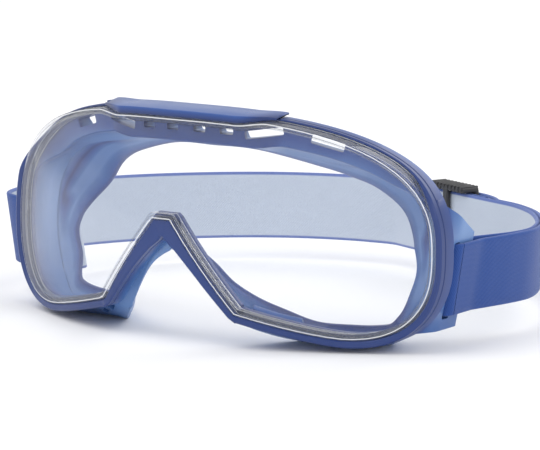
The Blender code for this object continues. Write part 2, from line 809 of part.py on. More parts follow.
def make_strap_return():
    """The outer layer: from the right wing's bar back to the buckle, round its bar and sewn down."""
    layer = STRAP_THICKNESS + GAP
    bar_left = BUCKLE_SLOT + BUCKLE_BAR / 2
    bar_middle = buckle_bar_low() + BUCKLE_THICKNESS / 2
    radius = BUCKLE_THICKNESS / 2 + GAP + STRAP_THICKNESS / 2
    _, outer = right_layers()
    over_bar = bar_middle + radius
    path = [(wing_layer(BAR_FRONT_Y + GAP, 1))] + outer[:0:-1]
    path.append(on_stretch(bar_left + RETURN_LAP + LAP_DESCENT, 2 * layer + LAP_CLEARANCE))
    path.append(on_stretch(bar_left + BUCKLE_BAR + LAP_DESCENT, over_bar))
    path.append(on_stretch(bar_left, over_bar))
    for step in range(1, 9):
        angle = math.radians(90 + 180 * step / 8)
        along = bar_left + radius * math.cos(angle)
        path.append(on_stretch(along, bar_middle + radius * math.sin(angle)))
    path += [on_stretch(bar_left + RETURN_LAP * share, bar_middle - radius) for share in (0.3, 1.0)]
    return ribbon("strap_return", path)


def buckle_bar_low():
    """Distance from the strap's middle to the near face of the buckle's outer bars."""
    return STRAP_THICKNESS / 2 + GAP + STRAP_THICKNESS + GAP


def make_rod():
    x, y, _ = rod_place()
    length = STRAP_WIDTH + 2 * ROD_OVERHANG
    bm = bmesh.new()
    bmesh.ops.create_cone(
        bm, cap_ends=True, segments=16, radius1=ROD_RADIUS, radius2=ROD_RADIUS, depth=length
    )
    lean = Matrix.Rotation(-math.atan(STRAP_TILT), 4, "Y")
    bmesh.ops.transform(bm, matrix=lean, verts=bm.verts)
    bmesh.ops.translate(bm, vec=(-x, y, STRAP_Z), verts=bm.verts)
    return mesh_from("strap_stop_rod", bm)


def make_buckle():
    """Tri-glide: two rails, two bars outside the strap and one bar inside it. Its origin is on the strap."""
    length = 3 * BUCKLE_BAR + 2 * BUCKLE_SLOT
    low = buckle_bar_low()
    inner = -(STRAP_THICKNESS / 2 + GAP + BUCKLE_THICKNESS)
    outer = low + BUCKLE_THICKNESS
    rail_z = STRAP_WIDTH / 2 + GAP + BUCKLE_RAIL / 2
    height = 2 * rail_z
    side_x = BUCKLE_SLOT + BUCKLE_BAR
    rail = (length, outer - inner, BUCKLE_RAIL)
    bar = (BUCKLE_BAR, BUCKLE_THICKNESS, height)
    buckle = box_solid("triglide_buckle", rail, (0, (outer + inner) / 2, rail_z))
    parts = [
        ("buckle_rail_low", rail, (0, (outer + inner) / 2, -rail_z)),
        ("buckle_bar_inner", bar, (0, inner + BUCKLE_THICKNESS / 2, 0)),
        ("buckle_bar_right", bar, (-side_x, low + BUCKLE_THICKNESS / 2, 0)),
        ("buckle_bar_left", bar, (side_x, low + BUCKLE_THICKNESS / 2, 0)),
    ]
    place = Matrix.Translation(Vector((STRETCH_X, STRETCH_Y, STRAP_REAR_Z)) * MM)
    place @= Matrix.Rotation(STRETCH_TURN, 4, "Z")
    for name, size, centre in parts:
        part = box_solid(name, size, centre)
        boolean(buckle, part, "UNION")
        part.matrix_world = place
    buckle.matrix_world = place
    return buckle


# ---------------------------------------------------------------- whole object


def dress(obj):
    colour, roughness, metallic = MATERIALS[obj.name]
    material = bpy.data.materials.new(obj.name)
    material.use_nodes = True
    shader = material.node_tree.nodes["Principled BSDF"]
    shader.inputs["Base Color"].default_value = (*colour, 1)
    shader.inputs["Roughness"].default_value = roughness
    shader.inputs["Metallic"].default_value = metallic
    material.diffuse_color = (*colour, 1)
    obj.data.materials.append(material)
    obj.data.shade_smooth()
    obj.data.set_sharp_from_angle(angle=math.radians(35))


def stand_on_origin(pieces):
    """Moves everything so that the bounding box's bottom centre is at the origin."""
    bpy.context.view_layer.update()
    graph = bpy.context.evaluated_depsgraph_get()
    low = np.full(3, np.inf)
    high = np.full(3, -np.inf)
    for piece in pieces:
        evaluated = piece.evaluated_get(graph)
        mesh = evaluated.to_mesh()
        for vert in mesh.vertices:
            place = evaluated.matrix_world @ vert.co
            low = np.minimum(low, place)
            high = np.maximum(high, place)
        evaluated.to_mesh_clear()
    shift = Vector((-(low[0] + high[0]) / 2, -(low[1] + high[1]) / 2, -low[2]))
    for obj in bpy.context.scene.objects:
        obj.location += shift
    print("design frame moved by", [round(value, 6) for value in shift])


def main():
    for obj in list(bpy.data.objects):
        bpy.data.objects.remove(obj)
    outline = Outline()
    pieces = [
        make_lens(),
        make_frame(outline),
        make_face_skirt(outline),
        make_brow_cover(),
        make_lower_vent_cover(outline, "left", 1),
        make_lower_vent_cover(outline, "right", -1),
        make_strap_main(),
        make_strap_return(),
        make_rod(),
        make_buckle(),
    ]
    for piece in pieces:
        dress(piece)
    stand_on_origin(pieces)


main()
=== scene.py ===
"""Visual model of wrap-round safety goggles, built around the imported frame.

Each class builds one sub-assembly in design millimetres, whose origin is 1.6 mm above the middle
of the nose notch's top edge: +X to the wearer's left, +Y towards the face and +Z up. Placing moves
a finished mesh to the row frame, in metres.
"""

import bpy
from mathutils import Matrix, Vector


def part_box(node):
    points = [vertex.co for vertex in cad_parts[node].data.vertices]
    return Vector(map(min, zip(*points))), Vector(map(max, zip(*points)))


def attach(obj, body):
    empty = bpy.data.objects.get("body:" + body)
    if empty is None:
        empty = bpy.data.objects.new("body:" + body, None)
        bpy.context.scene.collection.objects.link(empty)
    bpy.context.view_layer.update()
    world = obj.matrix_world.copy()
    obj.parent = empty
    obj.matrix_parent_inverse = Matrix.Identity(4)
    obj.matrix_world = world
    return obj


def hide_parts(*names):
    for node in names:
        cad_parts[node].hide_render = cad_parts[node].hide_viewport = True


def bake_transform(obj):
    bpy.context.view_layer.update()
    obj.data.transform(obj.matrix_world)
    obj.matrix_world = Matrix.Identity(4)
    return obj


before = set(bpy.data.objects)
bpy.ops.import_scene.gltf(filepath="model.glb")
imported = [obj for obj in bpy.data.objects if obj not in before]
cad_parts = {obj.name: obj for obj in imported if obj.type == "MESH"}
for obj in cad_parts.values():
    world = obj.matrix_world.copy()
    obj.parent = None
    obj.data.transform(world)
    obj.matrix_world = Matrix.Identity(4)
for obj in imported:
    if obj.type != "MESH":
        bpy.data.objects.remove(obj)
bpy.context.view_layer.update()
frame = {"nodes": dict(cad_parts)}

import logging
import math
from dataclasses import dataclass
from enum import Enum
from typing import Any, Callable, Iterable, Sequence

import bmesh
import bpy
import numpy as np
from mathutils import Matrix, Vector, kdtree

LOG = logging.getLogger("goggles")
MM = 0.001  # metres in a millimetre
GAP = 0.35  # clearance between neighbouring parts
FINE = 4  # steps in one row of the outline
NEAR = 1e-4  # just past a corner, in rows, and the distance of doubles
Point2 = tuple[float, float]
Colour = tuple[float, float, float]


# ------------------------------------------------------------------ numbers


def smooth_share(low: float, high: float, value: float) -> float:
    """Returns 0 below low, 1 above high and a smooth rise between."""
    share = min(max((value - low) / (high - low), 0.0), 1.0)
    return share * share * (3 - 2 * share)


def mix(a: float, b: float, share: float) -> float:
    """Returns the value a share of the way from a to b."""
    return a + (b - a) * share


def spline(keys: Sequence[Sequence[float]], places: Iterable[float]) -> np.ndarray:
    """Finds smooth values at places.

    Args:
        keys: Rows of a place followed by its values, in rising order of place.
        places: Where the values are wanted.

    Returns:
        One row of values for each place.
    """
    table = np.array(keys, float)
    at, values = table[:, 0], table[:, 1:]
    slopes = np.gradient(values, at, axis=0)
    found = []
    for place in places:
        i = int(np.clip(np.searchsorted(at, place, side="right") - 1, 0, len(at) - 2))
        span = at[i + 1] - at[i]
        s = (place - at[i]) / span
        found.append(
            (2 * s**3 - 3 * s**2 + 1) * values[i]
            + (s**3 - 2 * s**2 + s) * span * slopes[i]
            + (3 * s**2 - 2 * s**3) * values[i + 1]
            + (s**3 - s**2) * span * slopes[i + 1]
        )
    return np.array(found)


def curve_through(points: Sequence[Sequence[float]], spacing: float) -> list[np.ndarray]:
    """Returns points about spacing apart on a smooth curve through the given ones."""
    array = np.array(points, float)
    steps = np.linalg.norm(np.diff(array, axis=0), axis=1)
    along = np.concatenate([[0], np.cumsum(steps)])
    count = max(int(round(along[-1] / spacing)), 2)
    keys = np.column_stack([along, array])
    return list(spline(keys, np.linspace(0, along[-1], count + 1)))


# ------------------------------------------------------------------ outline of the lens


@dataclass
class Outline:
    """The lens's outline, the waist behind it and the skirt's edge on the face, by row.

    Rows run from the notch's middle, 0, down its left side, along the lower edge and up the temple
    at 27, then back along the upper edge to the middle at 54. Rows past 54 mirror them.
    """

    half_width: float = 82.5
    temple_z: float = -11.0
    top_z: float = 32.3
    bottom_z: float = -37.0
    top_roundness: float = 2.6
    corner_roundness: float = 2.4
    corner_reach: float = 23.0
    corner_bend: float = 0.8
    corner_leans: Point2 = (0.487, 0.286)
    notch_half: float = 3.4
    notch_top: float = -1.6
    notch_foot: Point2 = (25.9, -30.2)
    recess: float = 1.9
    cover_flat: float = 22.6
    cover_half: float = 34.0
    temple_depth: float = 32.5
    lean: float = 0.1
    bow: float = 0.0035
    flange: float = 3.5
    floor_z: float = -41.3
    roof: float = 7.0
    roof_span: Point2 = (2.0, 20.0)
    rim_width: float = 2.6
    top_rim: float = 0.8
    nose_blend: float = 4.0
    band_set_back: float = 0.4
    seat_reach: Point2 = (2.0, 8.5)
    seat_thickness: float = 1.8
    least_wall: float = 1.2
    least_skirt: float = 4.0
    rows: tuple[int, ...] = (2, 7, 8, 10)
    waist_keys: tuple[tuple[float, ...], ...] = (
        (0, 0.0, 6.9, -8.6), (2, 2.2, 6.9, -8.8), (5, 10.6, 7.4, -16.4), (7, 16.2, 9.2, -25.0),
        (9, 22.3, 12.8, -33.2), (11, 29.0, 20.0, -37.6), (13, 36.0, 28.0, -40.3),
        (17, 54.0, 33.0, -41.0), (21, 66.0, 37.0, -37.5), (24, 73.0, 40.5, -27.0),
        (27, 75.5, 41.5, -12.0), (29, 75.0, 43.0, -1.0), (31, 72.0, 44.0, 6.5),
        (34, 63.5, 41.5, 13.0), (37, 54.0, 36.0, 16.0), (41, 40.0, 30.0, 18.5),
        (45, 26.0, 26.0, 20.5), (54, 0.0, 23.5, 21.5),
    )
    face_keys: tuple[tuple[float, ...], ...] = (
        (0, 0.0, 11.0, -9.8), (2, 4.6, 11.0, -10.6), (5, 13.6, 11.6, -16.0),
        (7, 19.2, 13.4, -21.6), (9, 25.2, 18.4, -26.8), (11, 31.0, 25.0, -31.0),
        (13, 38.0, 33.0, -35.4), (15, 46.0, 41.5, -36.9), (17, 53.0, 45.0, -36.8),
        (21, 63.5, 41.0, -32.5), (24, 66.0, 42.3, -25.0), (27, 68.0, 43.8, -15.5),
        (29, 65.2, 48.0, -8.5), (31, 60.0, 51.8, -1.5), (34, 52.0, 48.5, 6.5),
        (37, 44.0, 43.5, 10.8), (41, 33.0, 38.0, 14.5), (45, 20.0, 33.0, 17.8),
        (54, 0.0, 30.0, 19.0),
    )
    nose_rim: tuple[Point2, ...] = ((0.0, 5.45), (4.2, 5.8), (7.5, 4.8), (10.7, 4.4), (14.0, 4.1))
    roof_grip: float = 1.2

    def __post_init__(self) -> None:
        """Works out the joint lines once."""
        self.last = 2 * sum(self.rows)
        self.corner_x = self.half_width - self.corner_reach
        steps = np.arange(0, self.last + 1e-6, 1 / FINE)
        self.waist_line = self.joint_line(self.waist_keys, steps)
        self.face_line = self.joint_line(self.face_keys, steps)
        for i, row in enumerate(steps):
            seat_rear = self.at(row, 0, self.seat_front(row) + self.seat_thickness).y
            waist, face = self.waist_line[i], self.face_line[i]
            waist[1] = max(waist[1], seat_rear + self.least_wall)
            face[1] = max(face[1], waist[1] + self.least_skirt)

    def joint_line(self, keys: Sequence[Sequence[float]], steps: np.ndarray) -> np.ndarray:
        """Returns points of a symmetric line at each step."""
        ghost = [(-row, -x, y, z) for row, x, y, z in reversed(keys[1:4])]
        after = [(2 * self.last - row, -x, y, z) for row, x, y, z in reversed(keys[-4:-1])]
        found = spline(ghost + list(keys) + after, steps)
        found[0][0] = found[-1][0] = 0.0
        return found

    def all_rows(self) -> list[float]:
        """Returns the rows of a whole loop, in order."""
        return list(np.arange(0, 2 * self.last, 1 / FINE))

    def along(self, place: Callable[[float], Any]) -> list:
        """Returns what a method gives at each row of a whole loop."""
        return [place(row) for row in self.all_rows()]

    def loops(self, section: Callable[[float], list[Vector]]) -> list[list[Vector]]:
        """Turns a shell's sections into loops round it.

        Args:
            section: Gives the section's points at a row.

        Returns:
            A loop for each point of the section, with nothing below the floor.
        """
        found = [list(loop) for loop in zip(*self.along(section))]
        for point in (point for loop in found for point in loop):
            point.z = max(point.z, self.floor_z)
        return found

    def folded(self, row: float) -> tuple[float, int]:
        """Returns the row on the wearer's left side, and the sign of its x."""
        row = row % (2 * self.last)
        return (row, 1) if row <= self.last else (2 * self.last - row, -1)

    def place(self, row: float) -> float:
        """Returns x of a row from the middle out to the temple."""
        stops = (0.0, self.notch_half, self.notch_foot[0], self.corner_x)
        for start, end, count in zip(stops, stops[1:], self.rows):
            if row <= count:
                return mix(start, end, row / count)
            row -= count
        return self.corner_x + self.corner_reach * math.sin(math.pi / 2 * row / self.rows[3])

    def top_edge(self, x: float) -> float:
        """Returns z of the upper edge at x."""
        share = max(1 - (abs(x) / self.half_width) ** self.top_roundness, 0.0)
        height = (self.top_z - self.temple_z) * share ** (1 / self.top_roundness)
        recess = self.recess * (1 - smooth_share(self.cover_flat, self.cover_half, abs(x)))
        return self.temple_z + height - recess

    def bottom_edge(self, x: float) -> float:
        """Returns z of the lower edge at x."""
        x = abs(x)
        foot_x, foot_z = self.notch_foot
        if x <= self.notch_half:
            return self.notch_top
        if x <= foot_x:
            return mix(self.notch_top, foot_z, (x - self.notch_half) / (foot_x - self.notch_half))
        if x <= self.corner_x:
            bend = mix(foot_x, self.corner_x, self.corner_bend)
            a = foot_x - 2 * bend + self.corner_x
            b = 2 * (bend - foot_x)
            t = (-b + math.sqrt(b * b - 4 * a * (foot_x - x))) / (2 * a)
            return (1 - t) ** 2 * foot_z + (1 - (1 - t) ** 2) * self.bottom_z
        share = max(1 - ((x - self.corner_x) / self.corner_reach) ** self.corner_roundness, 0.0)
        depth = self.bottom_z - self.temple_z
        return self.temple_z + depth * share ** (1 / self.corner_roundness)

    def point(self, row: float) -> Vector:
        """Returns x and z of the lens's edge at a row."""
        row, sign = self.folded(row)
        middle = self.last / 2
        if row <= middle:
            x = self.place(row)
            return Vector((sign * x, self.bottom_edge(x)))
        x = self.place(self.last - row)
        return Vector((sign * x, self.top_edge(x)))

    def front(self, x: float, z: float) -> float:
        """Returns y of the lens's front face."""
        curve = x * x * self.temple_depth / self.half_width**2
        return curve + self.lean * z + self.bow * z * z

    def sweep(self, x: float | np.ndarray) -> float | np.ndarray:
        """Returns how fast the front face falls back at x."""
        return 2 * x * self.temple_depth / self.half_width**2

    def depths(self, points: np.ndarray) -> tuple[np.ndarray, np.ndarray]:
        """Returns each point's depth behind the front face, and the flange's depth there."""
        fronts = np.array([self.front(x, z) for x, _, z in points])
        return points[:, 1] - fronts, np.array([self.flange_depth(z) for z in points[:, 2]])

    def outward(self, row: float) -> Vector:
        """Returns the outward direction at a row, leaning at the notch's corners so that offsets of
        neighbouring rows never cross."""
        own, sign = self.folded(row)
        notch_top, notch_end = self.rows[0], self.rows[0] + self.rows[1]
        inside = 0.02
        low, high = own - inside, own + inside
        for corner in (notch_top, notch_end):
            if abs(own - corner) < inside:
                low, high = corner + NEAR, corner + 2 * inside
        run = (self.point(high) - self.point(low)).normalized()
        top_lean, foot_lean = self.corner_leans
        shift = np.interp(
            own + NEAR / 10,
            [0, notch_top, notch_top + NEAR, notch_end, notch_end + NEAR, notch_end + 3],
            [0, -top_lean, top_lean, foot_lean, -foot_lean, 0],
        )
        normal = Vector((run.y, -run.x)) + run * float(shift)
        return Vector((sign * normal.x, normal.y))

    def at(self, row: float, offset: float, depth: float) -> Vector:
        """Returns the point offset outwards from a row, and depth behind the front face there."""
        edge = self.point(row)
        normal = self.outward(row)
        y = self.front(edge.x, edge.y) + depth
        return Vector((edge.x + normal.x * offset, y, edge.y + normal.y * offset))

    def out(self, row: float) -> Vector:
        """Returns the outward direction at a row as a 3-D vector."""
        normal = self.outward(row)
        return Vector((normal.x, 0, normal.y))

    def roof_share(self, z: float) -> float:
        """Returns how far the deep brow flange is reached at z."""
        return smooth_share(*self.roof_span, z)

    def flange_depth(self, z: float) -> float:
        """Returns how far the lens's edge turns back at z."""
        return mix(self.flange, self.roof, self.roof_share(z))

    def seat_front(self, row: float) -> float:
        """Returns the depth of the frame's seat at a row."""
        return self.flange_depth(self.point(row).y) + GAP

    def seat(self, row: float) -> float:
        """Returns how far the seat reaches in over the lens's edge."""
        return mix(*self.seat_reach, self.roof_share(self.point(row).y))

    def rim(self, row: float) -> float:
        """Returns how far the frame's band stands out from the lens's edge."""
        edge = self.point(row)
        nose_end = self.notch_foot[0] + self.nose_blend
        nose = 1 - smooth_share(self.notch_half, nose_end, abs(edge.x))
        band = float(np.interp(abs(edge.x), *zip(*self.nose_rim)))
        lower = mix(self.rim_width, band, nose if edge.y < self.roof_span[0] else 0)
        return mix(lower, self.top_rim, self.roof_share(edge.y))

    def band_front(self, row: float) -> float:
        """Returns the depth of the frame band's front face."""
        share = self.roof_share(self.point(row).y)
        return mix(self.band_set_back, self.roof - self.roof_grip, share)

    def joint(self, line: np.ndarray, row: float) -> Vector:
        """Returns the point of a joint line at a row."""
        own, sign = self.folded(row)
        x, y, z = line[int(round(own * FINE))]
        return Vector((sign * x, y, z))

    def waist(self, row: float) -> Vector:
        """Returns the point where the frame meets the skirt."""
        return self.joint(self.waist_line, row)

    def face(self, row: float) -> Vector:
        """Returns the skirt's inner edge on the face."""
        return self.joint(self.face_line, row)


OUTLINE = Outline()


class Placing:
    """Moves design millimetres to the row frame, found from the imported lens."""

    def __init__(self, outline: Outline) -> None:
        """Reads the lens's box and works out the shift."""
        low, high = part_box("lens")
        nearest = min(outline.front(*outline.point(row)) for row in outline.all_rows())
        self.shift = Vector((
            (low.x + high.x) / 2,
            low.y - nearest * MM,
            low.z - outline.bottom_z * MM,
        ))
        self.matrix = Matrix.Translation(self.shift) @ Matrix.Scale(MM, 4)

    def to_row(self, point: Sequence[float]) -> Vector:
        """Returns a design point in the row frame, in metres."""
        return self.matrix @ Vector(point)

    def to_design(self, points: np.ndarray) -> np.ndarray:
        """Returns row points in design millimetres."""
        return (points - np.array(self.shift)) / MM


PLACING = Placing(OUTLINE)


# ------------------------------------------------------------------ meshes


class Workpiece:
    """A mesh under way, in design millimetres."""

    def __init__(self, name: str) -> None:
        """Starts an empty mesh with the piece's name."""
        self.name = name
        self.bm = bmesh.new()

    def step_onto(self, verts: list, edges: list, targets: Sequence) -> tuple[list, list]:
        """Extrudes a row of edges and moves the new points onto targets.

        Args:
            verts: The row's points, in order.
            edges: The row's edges.
            targets: A place for each point's copy.

        Returns:
            The new points, in the same order, and the new edges.
        """
        made = bmesh.ops.extrude_edge_only(self.bm, edges=edges)["geom"]
        fresh = {part for part in made if isinstance(part, bmesh.types.BMVert)}
        new_edges = [
            part for part in made
            if isinstance(part, bmesh.types.BMEdge) and set(part.verts) <= fresh
        ]
        moved = []
        for vert, target in zip(verts, targets):
            twin = next(
                edge.other_vert(vert) for edge in vert.link_edges if edge.other_vert(vert) in fresh
            )
            twin.co = target
            moved.append(twin)
        return moved, new_edges

    def ring(self, loops: Sequence[Sequence]) -> "Workpiece":
        """Sweeps closed loops one to the next, and back to the first."""
        made = bmesh.ops.create_circle(self.bm, segments=len(loops[0]), radius=1)["verts"]
        verts = self.in_order(made)
        for vert, place in zip(verts, loops[0]):
            vert.co = place
        edges = [self.bm.edges.get((verts[i - 1], verts[i])) for i in range(len(verts))]
        for loop in [*loops[1:], loops[0]]:
            verts, edges = self.step_onto(verts, edges, loop)
        return self

    def in_order(self, made: list) -> list:
        """Returns a circle's points in order round it."""
        order = [made[0]]
        seen = {made[0]}
        while len(order) < len(made):
            near = [edge.other_vert(order[-1]) for edge in order[-1].link_edges]
            step = next(vert for vert in near if vert not in seen)
            order.append(step)
            seen.add(step)
        return order

    def loft(self, sections: Sequence[Sequence]) -> "Workpiece":
        """Sweeps closed sections one to the next, with a face at each end."""
        made = bmesh.ops.create_circle(self.bm, segments=len(sections[0]), cap_ends=True, radius=1)
        verts = self.in_order(made["verts"])
        for vert, place in zip(verts, sections[0]):
            vert.co = place
        edges = [self.bm.edges.get((verts[i - 1], verts[i])) for i in range(len(verts))]
        for section in sections[1:]:
            verts, edges = self.step_onto(verts, edges, section)
        bmesh.ops.contextual_create(self.bm, geom=edges)
        return self

    def box(self, size: Sequence[float], centre: Sequence[float], turn: Matrix | None = None,
            rounding: float = 0.0) -> "Workpiece":
        """Adds a box, turned and then moved, with rounded edges where asked."""
        made = bmesh.ops.create_cube(self.bm, size=1)["verts"]
        bmesh.ops.scale(self.bm, vec=size, verts=made)
        if rounding:
            edges = list({edge for vert in made for edge in vert.link_edges})
            out = bmesh.ops.bevel(self.bm, geom=edges, offset=rounding, affect="EDGES", segments=3,
                                  profile=0.5, material=-1)
            made = list({vert for face in out["faces"] for vert in face.verts})
        if turn is not None:
            bmesh.ops.transform(self.bm, matrix=turn.to_4x4(), verts=made)
        bmesh.ops.translate(self.bm, vec=centre, verts=made)
        return self

    def clean(self) -> "Workpiece":
        """Merges doubles and points the faces outwards."""
        bmesh.ops.remove_doubles(self.bm, verts=self.bm.verts, dist=1e-5)
        bmesh.ops.recalc_face_normals(self.bm, faces=self.bm.faces)
        return self

    def round_edges(self, offset: float, least_angle: float, segments: int = 2) -> "Workpiece":
        """Rounds every edge sharper than an angle in degrees."""
        limit = math.radians(least_angle)
        sharp = [
            edge for edge in self.bm.edges
            if len(edge.link_faces) == 2 and edge.calc_face_angle(0) > limit
        ]
        bmesh.ops.bevel(self.bm, geom=sharp, offset=offset, affect="EDGES", segments=segments,
                        profile=0.5, material=-1, clamp_overlap=True)
        return self

    def finish(self, smooth_angle: float = 40.0) -> bpy.types.Object:
        """Returns the object, placed in the row frame with its origin at the world's."""
        bmesh.ops.transform(self.bm, matrix=PLACING.matrix, verts=self.bm.verts)
        mesh = bpy.data.meshes.new(self.name)
        self.bm.to_mesh(mesh)
        self.bm.free()
        obj = bpy.data.objects.new(self.name, mesh)
        bpy.context.scene.collection.objects.link(obj)
        shade(obj, smooth_angle)
        return obj


def shade(obj: bpy.types.Object, angle: float) -> None:
    """Shades a piece smooth, with edges over an angle in degrees kept sharp."""
    obj.data.shade_smooth()
    obj.data.set_sharp_from_angle(angle=math.radians(angle))


def combine(obj: bpy.types.Object, tools: Sequence[bpy.types.Object], operation: str) -> None:
    """Applies a Boolean with each tool in turn, and removes the tools."""
    for tool in tools:
        modifier = obj.modifiers.new(tool.name, "BOOLEAN")
        modifier.operation = operation
        modifier.solver = "EXACT"
        modifier.object = tool
    apply_modifiers(obj)
    for tool in tools:
        bpy.data.objects.remove(tool)


def apply_modifiers(obj: bpy.types.Object) -> None:
    """Turns a piece's modifiers into its mesh."""
    bpy.context.view_layer.update()
    graph = bpy.context.evaluated_depsgraph_get()
    mesh = bpy.data.meshes.new_from_object(obj.evaluated_get(graph))
    obj.modifiers.clear()
    obj.data = mesh


def paint(obj: bpy.types.Object, name: str, value: Callable[[np.ndarray], np.ndarray]) -> None:
    """Stores a number on each point of a piece.

    Args:
        obj: The piece.
        name: The attribute's name.
        value: Takes the points in design millimetres and returns a number for each.
    """
    points = np.array([vert.co for vert in obj.data.vertices], float).reshape(-1, 3)
    attribute = obj.data.attributes.new(name, "FLOAT", "POINT")
    attribute.data.foreach_set("value", value(PLACING.to_design(points)).astype(np.float32))


class LineDistance:
    """Distance of points from a line given as close points."""

    parts = 8

    def __init__(self, line: Sequence[Vector]) -> None:
        """Stores the closed line's points, and ones between them, in a tree."""
        ends = list(zip(line, [*line[1:], line[0]]))
        line = [a.lerp(b, step / self.parts) for a, b in ends for step in range(self.parts)]
        self.tree = kdtree.KDTree(len(line))
        for i, point in enumerate(line):
            self.tree.insert(point, i)
        self.tree.balance()

    def __call__(self, points: np.ndarray) -> np.ndarray:
        """Returns each point's distance from the line, in millimetres."""
        return np.array([self.tree.find(point)[2] for point in points])


def rise(values: np.ndarray, low: float, high: float) -> np.ndarray:
    """Returns a smooth rise from 0 at low to 1 at high, for an array."""
    share = np.clip((values - low) / (high - low), 0, 1)
    return share * share * (3 - 2 * share)


# ------------------------------------------------------------------ finishes


class Value:
    """A shader number on which Python's operators add Math nodes."""

    def __init__(self, graph: "Graph", socket: bpy.types.NodeSocket) -> None:
        """Wraps an output socket of a graph."""
        self.graph = graph
        self.socket = socket

    def _math(self, operation: str, *values: "Value | float") -> "Value":
        """Returns the result of a Math node."""
        return self.graph.math(operation, *values)

    def __add__(self, other: "Value | float") -> "Value":
        """Adds."""
        return self._math("ADD", self, other)

    __radd__ = __add__

    def __sub__(self, other: "Value | float") -> "Value":
        """Subtracts."""
        return self._math("SUBTRACT", self, other)

    def __rsub__(self, other: "Value | float") -> "Value":
        """Subtracts from a number."""
        return self._math("SUBTRACT", other, self)

    def __mul__(self, other: "Value | float") -> "Value":
        """Multiplies."""
        return self._math("MULTIPLY", self, other)

    __rmul__ = __mul__

    def __truediv__(self, other: "Value | float") -> "Value":
        """Divides."""
        return self._math("DIVIDE", self, other)

    def __pow__(self, other: "Value | float") -> "Value":
        """Raises to a power."""
        return self._math("POWER", self, other)


class Graph:
    """A material's node graph around one Principled shader."""

    def __init__(self, name: str) -> None:
        """Starts a material with its Principled shader."""
        self.material = bpy.data.materials.new(name)
        self.material.use_nodes = True
        self.tree = self.material.node_tree
        self.shader = self.tree.nodes["Principled BSDF"]
        self.output = self.tree.nodes["Material Output"]

    def node(self, kind: str, settings: dict | None = None,
             sockets: dict | None = None) -> bpy.types.Node:
        """Adds a node.

        Args:
            kind: The node's type.
            settings: Properties of the node; "stops" gives a ramp's places and colours.
            sockets: Values or links by the socket's name or number.

        Returns:
            The node.
        """
        made = self.tree.nodes.new(kind)
        for key, value in (settings or {}).items():
            if key == "stops":
                self.set_stops(made.color_ramp, value)
            else:
                setattr(made, key, value)
        for key, value in (sockets or {}).items():
            self.feed(made.inputs[key], value)
        return made

    def set_stops(self, ramp: bpy.types.ColorRamp, stops: Sequence[tuple]) -> None:
        """Gives a ramp its places and colours."""
        while len(ramp.elements) < len(stops):
            ramp.elements.new(0.5)
        for element, (place, colour) in zip(ramp.elements, stops):
            element.position = place
            element.color = (*colour, 1.0)

    def feed(self, socket: bpy.types.NodeSocket, value: Any) -> None:
        """Links or sets a socket."""
        if isinstance(value, Value):
            value = value.socket
        if isinstance(value, bpy.types.NodeSocket):
            self.tree.links.new(value, socket)
        elif isinstance(value, tuple) and len(value) == 3 and socket.type == "RGBA":
            socket.default_value = (*value, 1.0)
        else:
            socket.default_value = value

    def math(self, operation: str, *values: Value | float) -> Value:
        """Returns the result of a Math node."""
        made = self.node("ShaderNodeMath", {"operation": operation}, dict(enumerate(values)))
        return Value(self, made.outputs[0])

    def attribute(self, name: str) -> Value:
        """Returns a number stored on the piece's points."""
        made = self.node("ShaderNodeAttribute", {"attribute_name": name})
        return Value(self, made.outputs["Fac"])

    def noise(self, scale: float, detail: float = 3.0) -> Value:
        """Returns noise over object coordinates."""
        place = self.node("ShaderNodeTexCoord").outputs["Object"]
        sockets = {"Vector": place, "Scale": scale, "Detail": detail}
        return Value(self, self.node("ShaderNodeTexNoise", None, sockets).outputs["Fac"])

    def ramp(self, value: Value, stops: Sequence[tuple]) -> bpy.types.NodeSocket:
        """Returns a colour chosen by a number."""
        return self.node("ShaderNodeValToRGB", {"stops": stops}, {0: value}).outputs["Color"]

    def blend(self, share: Value, low: Any, high: Any) -> bpy.types.NodeSocket:
        """Returns a mix of two colours."""
        made = self.node("ShaderNodeMix", {"data_type": "RGBA"}, {0: share, 6: low, 7: high})
        return made.outputs[2]

    def bump(self, height: Value, distance: float, strength: float = 1.0) -> None:
        """Feeds a height into the shader's normal."""
        made = self.node(
            "ShaderNodeBump", None, {"Height": height, "Distance": distance, "Strength": strength}
        )
        self.feed(self.shader.inputs["Normal"], made.outputs["Normal"])

    def set(self, **values: Any) -> None:
        """Feeds the shader's sockets; an underscore in a name stands for a space."""
        for key, value in values.items():
            self.feed(self.shader.inputs[key.replace("_", " ")], value)


@dataclass(frozen=True)
class SoftVinyl:
    """Soft see-through vinyl, deeper in colour where it is thick; the piece's tone also carries
    painted shade and painted highlights.
    """

    name: str
    stops: tuple[tuple[float, Colour], ...]
    roughness: float = 0.32
    grain: float = 900.0
    grain_depth: float = 0.00002
    cloud: float = 45.0
    cloud_share: float = 0.08
    gloss_patch: float = 160.0
    gloss_spread: float = 0.14
    milk: float = 0.0
    milk_depth: float = 0.003
    milk_spread: Colour = (0.4, 0.6, 1.0)

    def material(self) -> bpy.types.Material:
        """Returns the finish as a material that reads the piece's tone."""
        graph = Graph(self.name)
        cloud = graph.noise(self.cloud, 2.0)
        tone = graph.attribute("tone") + (cloud - 0.5) * self.cloud_share
        fine = graph.noise(self.grain, 2.0)
        graph.set(
            Base_Color=graph.ramp(tone, self.stops),
            Roughness=self.roughness + (graph.noise(self.gloss_patch) - 0.5) * self.gloss_spread,
            IOR=1.5,
            Subsurface_Weight=self.milk,
            Subsurface_Scale=self.milk_depth,
            Coat_Roughness=0.2,
        )
        graph.shader.inputs["Subsurface Radius"].default_value = self.milk_spread
        graph.bump(fine, self.grain_depth, 0.25)
        return graph.material


